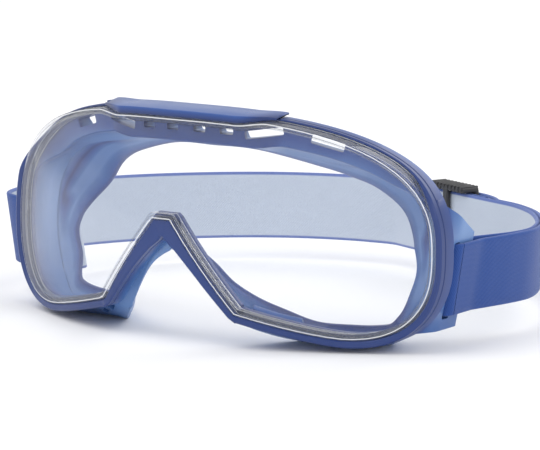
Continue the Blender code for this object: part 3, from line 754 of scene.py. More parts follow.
@dataclass(frozen=True)
class ClearMoulding:
    """Polished clear plastic: nearly invisible face on, with painted highlight lines and painted
    dark refraction lines at its edges.
    """

    name: str
    # Painted light along the edge: the dark lines stand for refraction and the bright lines are
    # painted highlights.
    painted_refraction_lines: tuple[Point2, ...] = ((0.1, 0.2), (1.25, 0.14), (-4.9, 0.2))
    painted_highlight_lines: tuple[Point2, ...] = ((0.5, 0.22), (-4.1, 0.3))
    # Colours of the painted dark refraction lines and of the painted highlights.
    painted_dark_edge: Colour = (0.02, 0.03, 0.06)
    painted_highlight: Colour = (0.95, 0.97, 1.0)
    tint: Colour = (0.985, 0.99, 1.0)
    line_gain: float = 1.6
    painted_refraction_share: float = 0.65
    painted_highlight_share: float = 0.75
    shine_facing: float = 0.03
    shine_edge: float = 0.5
    shine_falloff: float = 4.0

    def lines(self, graph: Graph, place: Value, wanted: Sequence[Point2]) -> Value:
        """Returns 1 along each line and 0 away from them; a line is its place and half width."""
        found = [
            graph.math("MAXIMUM", 1.0 - graph.math("ABSOLUTE", place - at) / half, 0.0)
            for at, half in wanted
        ]
        total = found[0]
        for share in found[1:]:
            total = total + share
        return graph.math("MINIMUM", total * self.line_gain, 1.0)

    def material(self) -> bpy.types.Material:
        """Returns the finish as a material that reads the piece's rim: the distance from the edge,
        counted below 0 on the edge that turns back."""
        graph = Graph(self.name)
        rim = graph.attribute("rim")
        # Masks of the painted dark refraction lines and of the painted highlight lines.
        refraction_mask = self.lines(graph, rim, self.painted_refraction_lines)
        bright = self.lines(graph, rim, self.painted_highlight_lines)
        patch = graph.noise(120.0)
        graph.set(
            Base_Color=graph.blend(refraction_mask, self.painted_highlight, self.painted_dark_edge),
            Roughness=0.12 + patch * 0.05,
        )
        clear = graph.node("ShaderNodeBsdfTransparent", None, {"Color": self.tint})
        white = {"Color": (1.0, 1.0, 1.0), "Roughness": 0.03}
        gloss = graph.node("ShaderNodeBsdfGlossy", None, white)
        weight = graph.node("ShaderNodeLayerWeight", None, {"Blend": 0.5})
        facing = Value(graph, weight.outputs["Facing"])
        shine = self.shine_facing + (facing ** self.shine_falloff) * self.shine_edge
        panel = graph.node(
            "ShaderNodeMixShader", None,
            {0: shine, 1: clear.outputs[0], 2: gloss.outputs[0]},
        )
        # Where the painted lines lie, the Principled shader shows over the clear panel.
        painted_lines = graph.math("MAXIMUM", refraction_mask * self.painted_refraction_share, bright * self.painted_highlight_share)
        whole = graph.node(
            "ShaderNodeMixShader", None,
            {0: painted_lines, 1: panel.outputs[0], 2: graph.shader.outputs[0]},
        )
        graph.feed(graph.output.inputs["Surface"], whole.outputs[0])
        return graph.material


@dataclass(frozen=True)
class Webbing:
    """Elastic twill webbing, royal blue outside and pale inside, with blue selvedges."""

    name: str
    outer: Colour = (0.006, 0.026, 0.17)
    outer_light: Colour = (0.025, 0.115, 0.44)
    inner: Colour = (0.60, 0.66, 0.75)
    inner_shade: Colour = (0.44, 0.51, 0.64)
    selvedge: Colour = (0.03, 0.09, 0.40)
    selvedge_start: float = 0.90
    rib_pitch: float = 0.62
    twill_lean: float = 0.62
    cross_ribs: float = 1.35
    yarn_depth: float = 0.00016
    fleck_scale: float = 2600.0
    half_width: float = 12.0

    def material(self) -> bpy.types.Material:
        """Returns the finish as a material that reads along, across and side."""
        graph = Graph(self.name)
        along, across, side = (graph.attribute(n) for n in ("along", "across", "side"))
        wave = 2 * math.pi / self.rib_pitch
        twill = graph.math("SINE", (along + across * self.twill_lean) * wave) * 0.5 + 0.5
        cross = graph.math("SINE", across * (wave * self.cross_ribs)) * 0.5 + 0.5
        yarn = twill * 0.7 + cross * 0.3
        edge = graph.math("ABSOLUTE", across) / self.half_width
        selvedge = graph.math("SMOOTH_MIN", (edge - self.selvedge_start) * 30.0, 1.0, 0.2)
        selvedge = graph.math("MAXIMUM", selvedge, 0.0)
        fleck = graph.noise(self.fleck_scale, 2.0)
        outer = graph.blend(yarn * 0.55 + fleck * 0.3, self.outer, self.outer_light)
        pale = graph.blend(yarn * 0.35 + fleck * 0.25, self.inner, self.inner_shade)
        pale = graph.blend(selvedge * 0.85, pale, self.selvedge)
        graph.set(
            Base_Color=graph.blend(side, pale, outer),
            Roughness=0.8 + (yarn - 0.5) * 0.15,
            Sheen_Weight=0.25,
            Sheen_Roughness=0.4,
        )
        graph.bump(yarn * (1.0 - selvedge * 0.5) + fleck * 0.35, self.yarn_depth, 0.8)
        return graph.material


@dataclass(frozen=True)
class MouldedNylon:
    """Hard moulded nylon with a fine spark-eroded grain."""

    name: str
    colour: Colour = (0.022, 0.022, 0.025)
    worn: Colour = (0.05, 0.05, 0.055)
    patches: float = 90.0
    grain: float = 3500.0
    grain_depth: float = 0.00004

    def material(self) -> bpy.types.Material:
        """Returns the finish as a material."""
        graph = Graph(self.name)
        patch = graph.noise(self.patches)
        graph.set(
            Base_Color=graph.blend(patch * 0.6, self.colour, self.worn),
            Roughness=0.38 + patch * 0.15,
        )
        graph.bump(graph.noise(self.grain, 1.0), self.grain_depth, 0.5)
        return graph.material


@dataclass(frozen=True)
class DrawnWire:
    """Plain steel wire with fine marks on it."""

    name: str
    dull: Colour = (0.55, 0.57, 0.6)
    bright: Colour = (0.75, 0.77, 0.8)

    def material(self) -> bpy.types.Material:
        """Returns the finish as a material."""
        graph = Graph(self.name)
        marks = graph.noise(700.0)
        graph.set(
            Base_Color=graph.blend(marks, self.dull, self.bright),
            Metallic=1.0,
            Roughness=0.25 + marks * 0.2,
        )
        return graph.material


@dataclass(frozen=True)
class PaleFloor:
    """A plain pale studio floor."""

    name: str
    paper: Colour = (0.93, 0.93, 0.94)
    shade: Colour = (0.9, 0.9, 0.91)

    def material(self) -> bpy.types.Material:
        """Returns the finish as a material."""
        graph = Graph(self.name)
        graph.set(
            Base_Color=graph.blend(graph.noise(3.0) * 0.1, self.paper, self.shade),
            Roughness=0.9,
            Specular_IOR_Level=0.1,
        )
        return graph.material


DEEP = (0.012, 0.030, 0.14)
ROYAL = (0.022, 0.062, 0.25)
SKY = (0.085, 0.19, 0.44)
MILK = (0.25, 0.39, 0.66)
# The darkest skirt stop serves both the deep lip and the painted shade.
SKIRT_DEEP_AND_SHADE = (0.022, 0.042, 0.18)
SKIRT_BLUE = (0.05, 0.11, 0.35)
# Cover stops: painted shade below, the plain blue, and a painted highlight on top.
COVER_SHADE = (0.010, 0.026, 0.12)
COVER_BLUE = (0.020, 0.06, 0.24)
COVER_PAINTED_HIGHLIGHT = (0.040, 0.11, 0.36)


class Finish(Enum):
    """Every finish of the goggles, made once each."""

    FRAME = SoftVinyl("blue_frame_vinyl", ((0.0, DEEP), (0.35, ROYAL), (0.7, SKY), (1.0, MILK)))
    SKIRT = SoftVinyl(
        "blue_skirt_vinyl",
        ((0.0, SKIRT_DEEP_AND_SHADE), (0.3, SKIRT_BLUE), (0.65, SKY), (1.0, MILK)),
        roughness=0.38, milk=0.15,
    )
    COVER = SoftVinyl(
        "blue_cover_plastic",
        ((0.0, COVER_SHADE), (0.5, COVER_BLUE), (1.0, COVER_PAINTED_HIGHLIGHT)),
        roughness=0.3, grain=1400.0,
    )
    LENS = ClearMoulding("clear_polycarbonate")
    WEBBING = Webbing("elastic_webbing")
    NYLON = MouldedNylon("black_nylon")
    WIRE = DrawnWire("steel_wire")

    def put_on(self, obj: bpy.types.Object, slot: str) -> None:
        """Gives a piece this finish as its only material."""
        material = bpy.data.materials.get(self.value.name) or self.value.material()
        obj.data.materials.clear()
        obj.data.materials.append(material)


def settle(obj: bpy.types.Object, body: str, *nodes: str) -> bpy.types.Object:
    """Makes a piece ride on a body and stand for CAD nodes, and reports it."""
    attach(obj, body)
    if nodes:
        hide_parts(*nodes)
    LOG.info("%s: %d faces on %s", obj.name, len(obj.data.polygons), body)
    return obj


# ------------------------------------------------------------------ lens


@dataclass
class LensWindow:
    """The clear window with its rounded border and turned-back flange."""

    wall: float = 2.0
    bands: int = 20
    columns_per_row: int = 3
    border_radius: float = 0.9
    smooth_angle: float = 50.0
    rim_margin: float = 0.3
    turned_mark: float = -5.0

    def columns(self) -> list[float]:
        """Returns x of each column, from right to left."""
        rows = np.arange(0, OUTLINE.last / 2 + 1e-6, 1 / self.columns_per_row)
        places = [OUTLINE.place(row) for row in rows]
        return [-x for x in reversed(places[1:])] + places

    def build(self) -> bpy.types.Object:
        """Returns the lens."""
        columns = self.columns()
        work = Workpiece("lens_window")
        bm = work.bm
        bmesh.ops.create_grid(bm, x_segments=len(columns) - 1, y_segments=self.bands, size=1)
        for vert in bm.verts:
            x = columns[round((vert.co.x + 1) / 2 * (len(columns) - 1))]
            z = mix(OUTLINE.bottom_edge(x), OUTLINE.top_edge(x), (vert.co.y + 1) / 2)
            vert.co = (x, OUTLINE.front(x, z), z)
        bmesh.ops.remove_doubles(bm, verts=bm.verts, dist=NEAR)
        border = [edge for edge in bm.edges if edge.is_boundary]
        verts = list({vert for edge in border for vert in edge.verts})
        targets = [
            vert.co + Vector((0, OUTLINE.flange_depth(vert.co.z), 0)) for vert in verts
        ]
        work.step_onto(verts, border, targets)
        work.clean()
        if sum(face.normal.y * face.calc_area() for face in bm.faces) > 0:
            bmesh.ops.reverse_faces(bm, faces=bm.faces)
        corner = [edge for edge in border if edge.is_valid and len(edge.link_faces) == 2]
        bmesh.ops.bevel(bm, geom=corner, offset=self.border_radius, affect="EDGES", segments=4,
                        profile=0.5, material=-1, clamp_overlap=True)
        lens = work.finish(self.smooth_angle)
        shell = lens.modifiers.new("wall", "SOLIDIFY")
        shell.thickness = self.wall * MM
        shell.offset = -1
        shell.use_even_offset = True
        apply_modifiers(lens)
        shade(lens, self.smooth_angle)
        self.mark_rim(lens)
        Finish.LENS.put_on(lens, "clear_lens")
        return settle(lens, "goggles", "lens")

    def mark_rim(self, lens: bpy.types.Object) -> None:
        """Marks the distance from the edge, counted below 0 along the edge that turns back."""
        edge = LineDistance(OUTLINE.along(lambda row: OUTLINE.at(row, 0, 0)))

        def rim(points: np.ndarray) -> np.ndarray:
            """Returns each point's mark."""
            depth, flange = OUTLINE.depths(points)
            wall = self.wall * np.hypot(1, OUTLINE.sweep(points[:, 0])) + self.rim_margin
            near = edge(points)
            back = np.clip((depth - self.wall) / (flange - self.wall), 0, 1)
            turned = self.turned_mark * back
            return np.where((depth > wall) & (near > wall), turned, near)

        paint(lens, "rim", rim)


# ------------------------------------------------------------------ frame


@dataclass
class GoggleFrame:
    """The soft frame: band, seat, inner wall, wings, vent slots and vent covers."""

    shoulder: float = 4.0
    wall: float = 2.2
    edge_round: float = 0.5
    mouth_round: float = 0.3
    seat_round: float = 0.4
    swell: float = 0.5
    groove_share: float = 0.3
    groove_width: float = 0.7
    groove_depth: float = 0.45
    wing_rows: tuple[int, int] = (17, 40)
    wing_steps: int = 13
    wing_blend: float = 0.55
    wing_round: float = 0.7
    wing_thickness: float = 3.0
    wing_inset: float = 3.0
    wing_y: float = 45.0
    splay: float = 0.03
    strap_z: float = -19.3
    tilt: float = 0.17
    wing_top_z: float = 8.0
    wing_foot_z: float = -34.6
    wing_rear_top_z: float = -5.0
    wing_rear_foot_z: float = -35.5
    wing_rear_y: float = 55.0
    wing_rear_slope: float = 0.1
    bar_front_y: float = 46.6
    slot_width: float = 4.2
    slot_height: float = 25.2
    top_slots: tuple[tuple[float, float, float], ...] = (
        (5.3, 4.6, 2.0), (15.3, 4.8, 2.0), (28.0, 13.0, 2.6), (48.0, 11.0, 3.0),
    )
    slot_round: float = 0.8
    slot_drop: float = 3.9
    slot_start: float = -2.0
    slot_overlap: float = 1.0
    vent_round: float = 0.5
    channel_spread: float = 1.6
    channel_raise: float = 0.3
    channel_run: float = 12.0
    vent_rows: tuple[float, float] = (9.5, 13.0)
    vent_depth: float = 7.0
    vent_thickness: float = 2.4
    vent_place: float = 0.55
    vent_steps: int = 14
    hole_shares: Point2 = (0.25, 0.75)
    hole_size: Point2 = (5.0, 2.2)

    def section(self, row: float) -> list[Vector]:
        """Returns the frame's section at a row, from its front round the inside to the outside."""
        rim, band, seat = OUTLINE.rim(row), OUTLINE.band_front(row), OUTLINE.seat_front(row)
        reach = OUTLINE.seat(row)
        half = self.wall / 2
        waist, out = OUTLINE.waist(row), OUTLINE.out(row)
        seat_rear = OUTLINE.at(row, -reach, seat + OUTLINE.seat_thickness)
        inner = waist - out * half
        outer = waist + out * half
        shoulder = OUTLINE.at(row, rim, seat + self.shoulder)
        groove = band + self.groove_share * (seat + self.shoulder - band)
        return [
            OUTLINE.at(row, rim, band + self.edge_round),
            OUTLINE.at(row, rim - self.edge_round, band),
            OUTLINE.at(row, GAP + self.mouth_round, band),
            OUTLINE.at(row, GAP, band + self.mouth_round),
            OUTLINE.at(row, GAP, seat),
            OUTLINE.at(row, -reach + self.seat_round, seat),
            OUTLINE.at(row, -reach, seat + self.edge_round),
            seat_rear,
            seat_rear.lerp(inner, 0.33) + out * self.swell,
            seat_rear.lerp(inner, 0.66) + out * self.swell,
            inner,
            outer,
            outer.lerp(shoulder, 0.5) + out * self.swell / 2,
            shoulder,
            OUTLINE.at(row, rim, groove + self.groove_width),
            OUTLINE.at(row, rim - self.groove_depth, groove + self.groove_width / 2),
            OUTLINE.at(row, rim, groove),
        ]

    def build(self) -> bpy.types.Object:
        """Returns the frame with its wings joined on and its openings cut."""
        body = Workpiece("goggle_frame").ring(OUTLINE.loops(self.section)).clean().finish()
        wings = [self.wing(sign) for sign in (1, -1)]
        combine(body, wings, "UNION")
        cutters = []
        for sign in (1, -1):
            cutters.append(self.strap_slot(sign))
            cutters += self.vent_slots(sign)
            cutters += self.lower_vents(sign)
        combine(body, cutters, "DIFFERENCE")
        shade(body, 32)
        self.tone(body)
        Finish.FRAME.put_on(body, "blue_frame")
        return settle(body, "goggles", "frame")

    def tone(self, body: bpy.types.Object) -> None:
        """Marks where the vinyl is thin and so lighter."""
        waist = LineDistance(OUTLINE.along(OUTLINE.waist))

        def share(points: np.ndarray) -> np.ndarray:
            """Returns each point's tone."""
            depth, seat = OUTLINE.depths(points)
            behind = rise(depth, seat + 1.0, seat + 4.0)
            near_waist = 1 - rise(waist(points), 1.0, 9.0)
            wing = rise(np.abs(points[:, 0]), 70, 80) * rise(depth, seat + 2, seat + 12)
            wing *= rise(points[:, 2], -38, -2)
            return np.clip(0.12 + 0.4 * behind + 0.25 * near_waist + 0.3 * wing, 0, 1)

        paint(body, "tone", share)

    def wing_plane(self, y: float, z: float) -> float:
        """Returns x of the left wing's middle surface near its strap slot."""
        side = OUTLINE.half_width - self.wing_inset
        return side - self.splay * (y - self.wing_y) + self.tilt * (z - self.strap_z)

    def wing(self, sign: int) -> bpy.types.Object:
        """Returns a wing as a curved plate with rounded edges."""
        rows = [
            row for row in np.arange(*self.wing_rows, 1 / FINE)
            if self.wing_foot_z <= OUTLINE.point(row).y <= self.wing_top_z
            and OUTLINE.point(row).x > OUTLINE.corner_x
        ]
        top, foot = OUTLINE.point(rows[-1]).y, OUTLINE.point(rows[0]).y
        steps = np.linspace(0, 1, self.wing_steps)
        sections = []
        for row in rows:
            z = OUTLINE.point(row).y
            share = (z - foot) / (top - foot)
            rear_z = mix(self.wing_rear_foot_z, self.wing_rear_top_z, share)
            rear_y = self.wing_rear_y - self.wing_rear_slope * (self.wing_rear_top_z - rear_z)
            offset = OUTLINE.rim_width - self.wing_thickness / 2
            root = OUTLINE.at(row, offset, OUTLINE.seat_front(row))
            path = []
            for step in steps:
                y, at_z = mix(root.y, rear_y, step), mix(root.z, rear_z, step)
                level = smooth_share(0, self.wing_blend, step)
                x = mix(root.x, self.wing_plane(y, at_z), level)
                path.append(Vector((x, y, at_z)))
            half = Vector((self.wing_thickness / 2, 0, 0))
            ring = [point + half for point in path] + [point - half for point in reversed(path)]
            sections.append([Vector((sign * p.x, p.y, p.z)) for p in ring])
        work = Workpiece(f"wing_{sign}").loft(sections).clean()
        return work.round_edges(self.wing_round, 55, 3).finish()

    def strap_slot(self, sign: int) -> bpy.types.Object:
        """Returns the cutter of a wing's strap slot."""
        y = self.bar_front_y - self.slot_width / 2
        centre = (sign * self.wing_plane(y, self.strap_z), y, self.strap_z)
        splay = Matrix.Rotation(math.atan(self.splay) * sign, 3, "Z")
        turn = splay @ Matrix.Rotation(math.atan(self.tilt) * sign, 3, "Y")
        size = (3 * self.wing_thickness, self.slot_width, self.slot_height)
        return Workpiece("slot").box(size, centre, turn, self.slot_round).clean().finish()

    def vent_slots(self, sign: int) -> list[bpy.types.Object]:
        """Returns the cutters of one side's upper vents: a slot through the seat and a channel."""
        cutters = []
        for x, width, height in self.top_slots:
            z = OUTLINE.top_edge(x)
            rise_angle = math.atan((OUTLINE.top_edge(x + 1) - OUTLINE.top_edge(x - 1)) / 2)
            sweep = math.atan(OUTLINE.sweep(x))
            seat_y = OUTLINE.front(x, z) + OUTLINE.flange_depth(z) + GAP
            base = Vector((sign * x, seat_y, z - self.slot_drop))
            turn = Matrix.Rotation(sweep * sign, 3, "Z")
            turn = turn @ Matrix.Rotation(-rise_angle * sign, 3, "Y")
            wide, high = width + 2 * self.channel_spread, height + 2 * self.channel_raise
            depth = OUTLINE.seat_thickness
            slot = (width, height, self.slot_start, depth + self.slot_overlap)
            channel = (wide, high, depth, depth + self.channel_run)
            for across, tall, start, end in (slot, channel):
                centre = base + turn @ Vector((0, (start + end) / 2, 0))
                size = (across, end - start, tall)
                cutter = Workpiece("vent").box(size, centre, turn, self.vent_round)
                cutters.append(cutter.clean().finish())
        return cutters

    def floor_place(self, row: float, sign: int) -> tuple[Vector, Vector, Vector, Vector]:
        """Returns a point on the frame's floor, with its run to the rear, its up and its side."""
        def front(at: float) -> Vector:
            """Returns the rear corner of the seat at a row."""
            depth = OUTLINE.seat_front(at) + OUTLINE.seat_thickness
            return OUTLINE.at(at, -OUTLINE.seat(at), depth)

        def rear(at: float) -> Vector:
            """Returns the inner wall's rear edge at a row."""
            return OUTLINE.waist(at) - OUTLINE.out(at) * self.wall / 2

        start, end = front(row), rear(row)
        run = (end - start).normalized()
        side = (rear(row + 1) - end).normalized()
        up = side.cross(run).normalized()
        if up.z < 0:
            up.negate()
        flip = Vector((sign, 1, 1))
        return start.lerp(end, self.vent_place) * flip, run * flip, up * flip, side * flip

    def lower_vents(self, sign: int) -> list[bpy.types.Object]:
        """Returns the cutters of one side's lower vent holes."""
        cutters = []
        for share in self.hole_shares:
            row = round(mix(*self.vent_rows, share) * FINE) / FINE
            point, run, up, side = self.floor_place(row, sign)
            turn = Matrix((side, run, up)).transposed()
            size = (*self.hole_size, 4 * self.wall)
            cutters.append(Workpiece("hole").box(size, point, turn).clean().finish())
        return cutters

    def vent_cover(self, side: str, sign: int) -> bpy.types.Object:
        """Returns the low cap over one side's lower vent holes."""
        sections = []
        for share in np.linspace(0, 1, self.vent_steps + 1):
            row = round(mix(*self.vent_rows, share) * FINE) / FINE
            point, run, up, _ = self.floor_place(row, sign)
            foot = point + up * GAP * 2
            top = foot + up * self.vent_thickness
            half, inset = run * self.vent_depth / 2, run * self.vent_depth / 3
            sections.append([foot - half, foot + half, top + inset, top - inset])
        cover = Workpiece(f"vent_cover_{side}").loft(sections).clean()
        cap = cover.round_edges(0.4, 35, 2).finish()
        paint(cap, "tone", lambda points: np.full(len(points), 0.5))
        Finish.FRAME.put_on(cap, "blue_vent")
        return settle(cap, "goggles", f"lower_vent_cover_{side}")


# ------------------------------------------------------------------ skirt and brow cover


@dataclass
class FaceSkirt:
    """The soft skirt from the frame's rear edge to the face."""

    wall: float = 1.8
    lip: float = 2.5
    cheek_lip: float = 5.4
    cheek_span: Point2 = (25.0, 33.0)
    bulge: float = 0.9
    side_shares: tuple[float, ...] = (0, 0.25, 0.5, 0.75, 1)
    edge_shape: tuple[Point2, ...] = ((0.9, 0.2), (0.7, 0.5), (0.3, 0.48), (0, 0.2), (0, -0.25))
    edge_step: Point2 = (0.25, 0.55)

    def section(self, row: float) -> list[Vector]:
        """Returns the skirt's section at a row."""
        back = Vector((0, 1, 0))
        waist, face, out = OUTLINE.waist(row), OUTLINE.face(row), OUTLINE.out(row)
        lip = mix(self.lip, self.cheek_lip, smooth_share(*self.cheek_span, -face.z))
        start_out = waist + out * self.wall * 0.5 + back * GAP
        start_in = waist - out * self.wall * 0.5 + back * GAP
        end_out = face + out * lip - back * self.wall * 0.5
        end_in = face + out * (lip - self.wall) - back * self.wall

        def swell(share: float) -> Vector:
            """Returns how far the wall bulges out at a share of its run."""
            return out * self.bulge * math.sin(math.pi * share)

        outside = [start_out.lerp(end_out, t) + swell(t) for t in self.side_shares]
        inside = [end_in.lerp(start_in, t) + swell(t) for t in self.side_shares]
        edge = [face + out * (lip * x) + back * self.wall * y for x, y in self.edge_shape]
        edge.append(face + out * self.edge_step[0] - back * self.wall * self.edge_step[1])
        return outside + edge + inside

    def build(self) -> bpy.types.Object:
        """Returns the skirt."""
        loops = OUTLINE.loops(self.section)
        skirt = Workpiece("face_skirt_shell").ring(loops).clean().finish(45)
        edge = LineDistance(OUTLINE.along(OUTLINE.face))
        joint = LineDistance(OUTLINE.along(OUTLINE.waist))

        def tone(points: np.ndarray) -> np.ndarray:
            """Returns each point's tone: deep on the lip, with painted shade in the channel and on
            the cheek.
            """
            lip = 1 - rise(edge(points), 1.2, 2.6)
            far = joint(points)
            side = rise(np.abs(points[:, 0]), 30, 48) * rise(points[:, 2], -22, -4)
            # Painted shade: a dark band standing for a shadowed channel near the frame's joint, on
            # the upper sides.
            channel = rise(far, 1.6, 2.4) * (1 - rise(far, 4.2, 5.4)) * side
            # Painted shade on the lower cheek of the wearer's left side.
            lower = rise(-points[:, 2], 24, 34) * rise(points[:, 0], 20, 40)
            return np.clip(0.8 - 0.7 * lip - 0.75 * channel - 0.35 * lower, 0, 1)

        paint(skirt, "tone", tone)
        Finish.SKIRT.put_on(skirt, "blue_skirt")
        return settle(skirt, "goggles", "face_skirt")


@dataclass
class BrowCover:
    """The clip-on bar over the lens's roof."""

    depth: float = 13.0
    overhang: float = 0.3
    end_slope: float = 0.35
    end_cut: float = 2.0
    steps: int = 68
    smooth_angle: float = 50.0
    front_height: float = 2.3
    rear_height: float = 3.0
    tip_height: float = 0.9
    lift: float = 0.35

    def build(self) -> bpy.types.Object:
        """Returns the cover."""
        sections = []
        half, flat = OUTLINE.cover_half, OUTLINE.cover_flat
        for step in range(self.steps + 1):
            x = mix(-half, half, step / self.steps)
            z = OUTLINE.top_edge(x) + GAP
            tip = smooth_share(flat, half, abs(x))
            chamfer = self.end_slope * max(abs(x) - flat, 0)
            y = OUTLINE.front(x, z)
            front = y - self.overhang + chamfer
            inner = y + OUTLINE.roof - OUTLINE.roof_grip - GAP
            rear = y + self.depth - self.end_cut * tip
            step_z = z + OUTLINE.top_rim + self.lift
            front_top = z + mix(self.front_height, self.tip_height, tip)
            rear_top = z + mix(self.rear_height, step_z - z + self.tip_height, tip)
            sections.append([
                Vector((x, *pair)) for pair in (
                    (front, z), (inner, z), (inner, step_z), (rear, step_z), (rear, rear_top),
                    (front, front_top),
                )
            ])
        work = Workpiece("brow_cover_bar").loft(sections).clean().round_edges(0.35, 40, 3)
        cover = work.finish(self.smooth_angle)

        def tone(points: np.ndarray) -> np.ndarray:
            """Returns each point's tone: painted highlight on top, painted shade below."""
            over = points[:, 2] - np.array([OUTLINE.top_edge(x) for x in points[:, 0]])
            # Painted light: lighter towards the top, darker on the front and underside.
            return np.clip(0.1 + 0.75 * rise(over, 1.2, 2.8), 0, 1)

        paint(cover, "tone", tone)
        Finish.COVER.put_on(cover, "blue_cover")
        return settle(cover, "brow_cover", "brow_cover")


# ------------------------------------------------------------------ strap and buckle


@dataclass
class HeadStrap:
    """The elastic webbing in two layers, with its sewn hem round the stop rod."""

    frame: GoggleFrame
    width: float = 24.0
    thickness: float = 1.4
    rear_z: float = -21.3
    rod_radius: float = 1.25
    rod_y: float = 50.5
    stretch: tuple[float, float] = (14.4, 149.9)
    turn: float = math.radians(-22.8)
    stretch_half: float = 34.0
    bar: float = 2.8
    slot: float = 6.5
    buckle_thickness: float = 1.7
    lap: float = 11.0
    spacing: float = 1.6
    closing: float = 26.0
    hem_angles: Point2 = (-95.0, 180.0)
    hem_steps: int = 33
    stretch_shares: tuple[float, float, float] = (0.7, 0.85, 1.0)
    wing_run: tuple[float, float, float] = (58.0, 54.0, 47.6)
    left_run: tuple[Point2, ...] = (
        (-86.0, 44.2), (-94.0, 45.8), (-100.0, 49.6), (-103.4, 56.0), (-104.8, 66.0),
        (-104.8, 80.0), (-101.0, 100.0), (-91.0, 123.0), (-74.0, 143.0), (-51.0, 157.0),
        (-27.0, 163.0),
    )
    right_run: tuple[Point2, ...] = (
        (60.5, 127.0), (70.6, 114.5), (78.4, 101.0), (83.0, 87.0), (82.9, 76.0), (80.9, 66.0),
    )

    def on_stretch(self, along: float, out: float) -> Point2:
        """Returns a point of the straight stretch at the back, out from the webbing's middle."""
        run = Vector((math.cos(self.turn), math.sin(self.turn)))
        outward = Vector((-run.y, run.x))
        return tuple(Vector(self.stretch) + run * along + outward * out)

    def off_bar(self) -> float:
        """Returns how far a layer's middle stands off the middle of a wing."""
        return self.frame.wing_thickness / 2 + GAP + self.thickness / 2

    def bar_turn(self, start: float, end: float, steps: int) -> list[Point2]:
        """Returns an arc round the front of the left wing's bar, by angle in degrees."""
        radius, y = self.off_bar(), self.frame.bar_front_y
        centre = self.frame.wing_plane(y, self.frame.strap_z)
        angles = np.radians(np.linspace(start, end, steps + 1))
        return [(centre + radius * math.cos(a), y - radius * math.sin(a)) for a in angles]

    def rod_place(self) -> tuple[float, float, float]:
        """Returns the left rod's x and y, and the hem's radius round it."""
        radius = self.rod_radius + GAP + self.thickness / 2
        x = self.frame.wing_plane(self.rod_y, self.frame.strap_z) - self.off_bar() - radius
        return x, self.rod_y, radius

    def hem(self) -> list[Point2]:
        """Returns the sewn end round the rod on the right wing."""
        x, y, radius = self.rod_place()
        angles = np.radians(np.linspace(*self.hem_angles, self.hem_steps + 1))
        return [(-x + radius * math.cos(a), y + radius * math.sin(a)) for a in angles]

    def layers(self) -> tuple[list[Point2], list[Point2]]:
        """Returns the inner and outer layer between the stretch and the left wing's bar."""
        half_layer = (self.thickness + GAP) / 2
        ends = [self.stretch_half * share for share in self.stretch_shares]
        middle = [self.on_stretch(end, half_layer) for end in ends]
        middle += list(self.right_run)
        middle += [(self.frame.wing_plane(y, self.frame.strap_z), y) for y in self.wing_run]
        points = np.array(curve_through(middle, self.spacing))
        runs = np.gradient(points, axis=0)
        runs /= np.linalg.norm(runs, axis=1)[:, None]
        inner, outer = [], []
        for (x, y), (run_x, run_y) in zip(points, runs):
            wing_end = self.frame.wing_rear_y
            near = 1 - smooth_share(wing_end, wing_end + self.closing, y)
            spread = mix(half_layer, self.off_bar(), near)
            inner.append((x + run_y * spread, y - run_x * spread))
            outer.append((x - run_y * spread, y + run_x * spread))
        return inner, outer

    def main_path(self) -> tuple[list[Point2], int]:
        """Returns the main layer's path, and how many of its points come before the last turn."""
        left = [(-x, y) for x, y in self.bar_turn(180, 90, 10)]
        free = [left[-1]] + list(self.left_run)
        ends = [*reversed(self.stretch_shares), 0.0]
        free += [self.on_stretch(-self.stretch_half * share, 0) for share in ends]
        inner, _ = self.layers()
        path = self.hem() + left + [tuple(p) for p in curve_through(free, self.spacing)[1:]]
        path += [tuple(p) for p in np.linspace(path[-1], inner[0], 16)[1:-1]]
        path += inner[:-1]
        return path + self.bar_turn(180, 0, 20), len(path)

    def return_path(self) -> list[Point2]:
        """Returns the outer layer's path, from the wing's bar to the end of its lap."""
        layer = self.thickness + GAP
        left_bar = self.slot + self.bar / 2
        middle = self.thickness / 2 + GAP + layer + self.buckle_thickness / 2
        radius = self.buckle_thickness / 2 + GAP + self.thickness / 2
        _, outer = self.layers()
        start_x = self.frame.wing_plane(self.frame.bar_front_y + GAP, self.frame.strap_z)
        path = [(start_x + self.off_bar(), self.frame.bar_front_y + GAP)] + outer[:0:-1]
        rise_keys = [
            path[-1],
            self.on_stretch(left_bar + self.lap + 2.5, 2 * layer + 0.2),
            self.on_stretch(left_bar + self.bar + 2.5, middle + radius),
            self.on_stretch(left_bar, middle + radius),
        ]
        path += [tuple(p) for p in curve_through(rise_keys, 1.2)[1:]]
        for angle in np.radians(np.linspace(90, 270, 19))[1:]:
            along = left_bar + radius * math.cos(angle)
            path.append(self.on_stretch(along, middle + radius * math.sin(angle)))
        path += [self.on_stretch(left_bar + self.lap * s, middle - radius) for s in (0.3, 0.6, 1.0)]
        return path

    def outline_points(self) -> list[tuple[float, float]]:
        """Returns the webbing's section as shares: across from -1 to 1, and side from -1 to 1."""
        flat = np.linspace(-0.955, 0.955, 13)
        right = [(0.985, -0.7), (1.0, 0.0), (0.985, 0.7)]
        left = [(-across, -side) for across, side in right]
        return [(a, -1.0) for a in flat] + right + [(a, 1.0) for a in reversed(flat)] + left

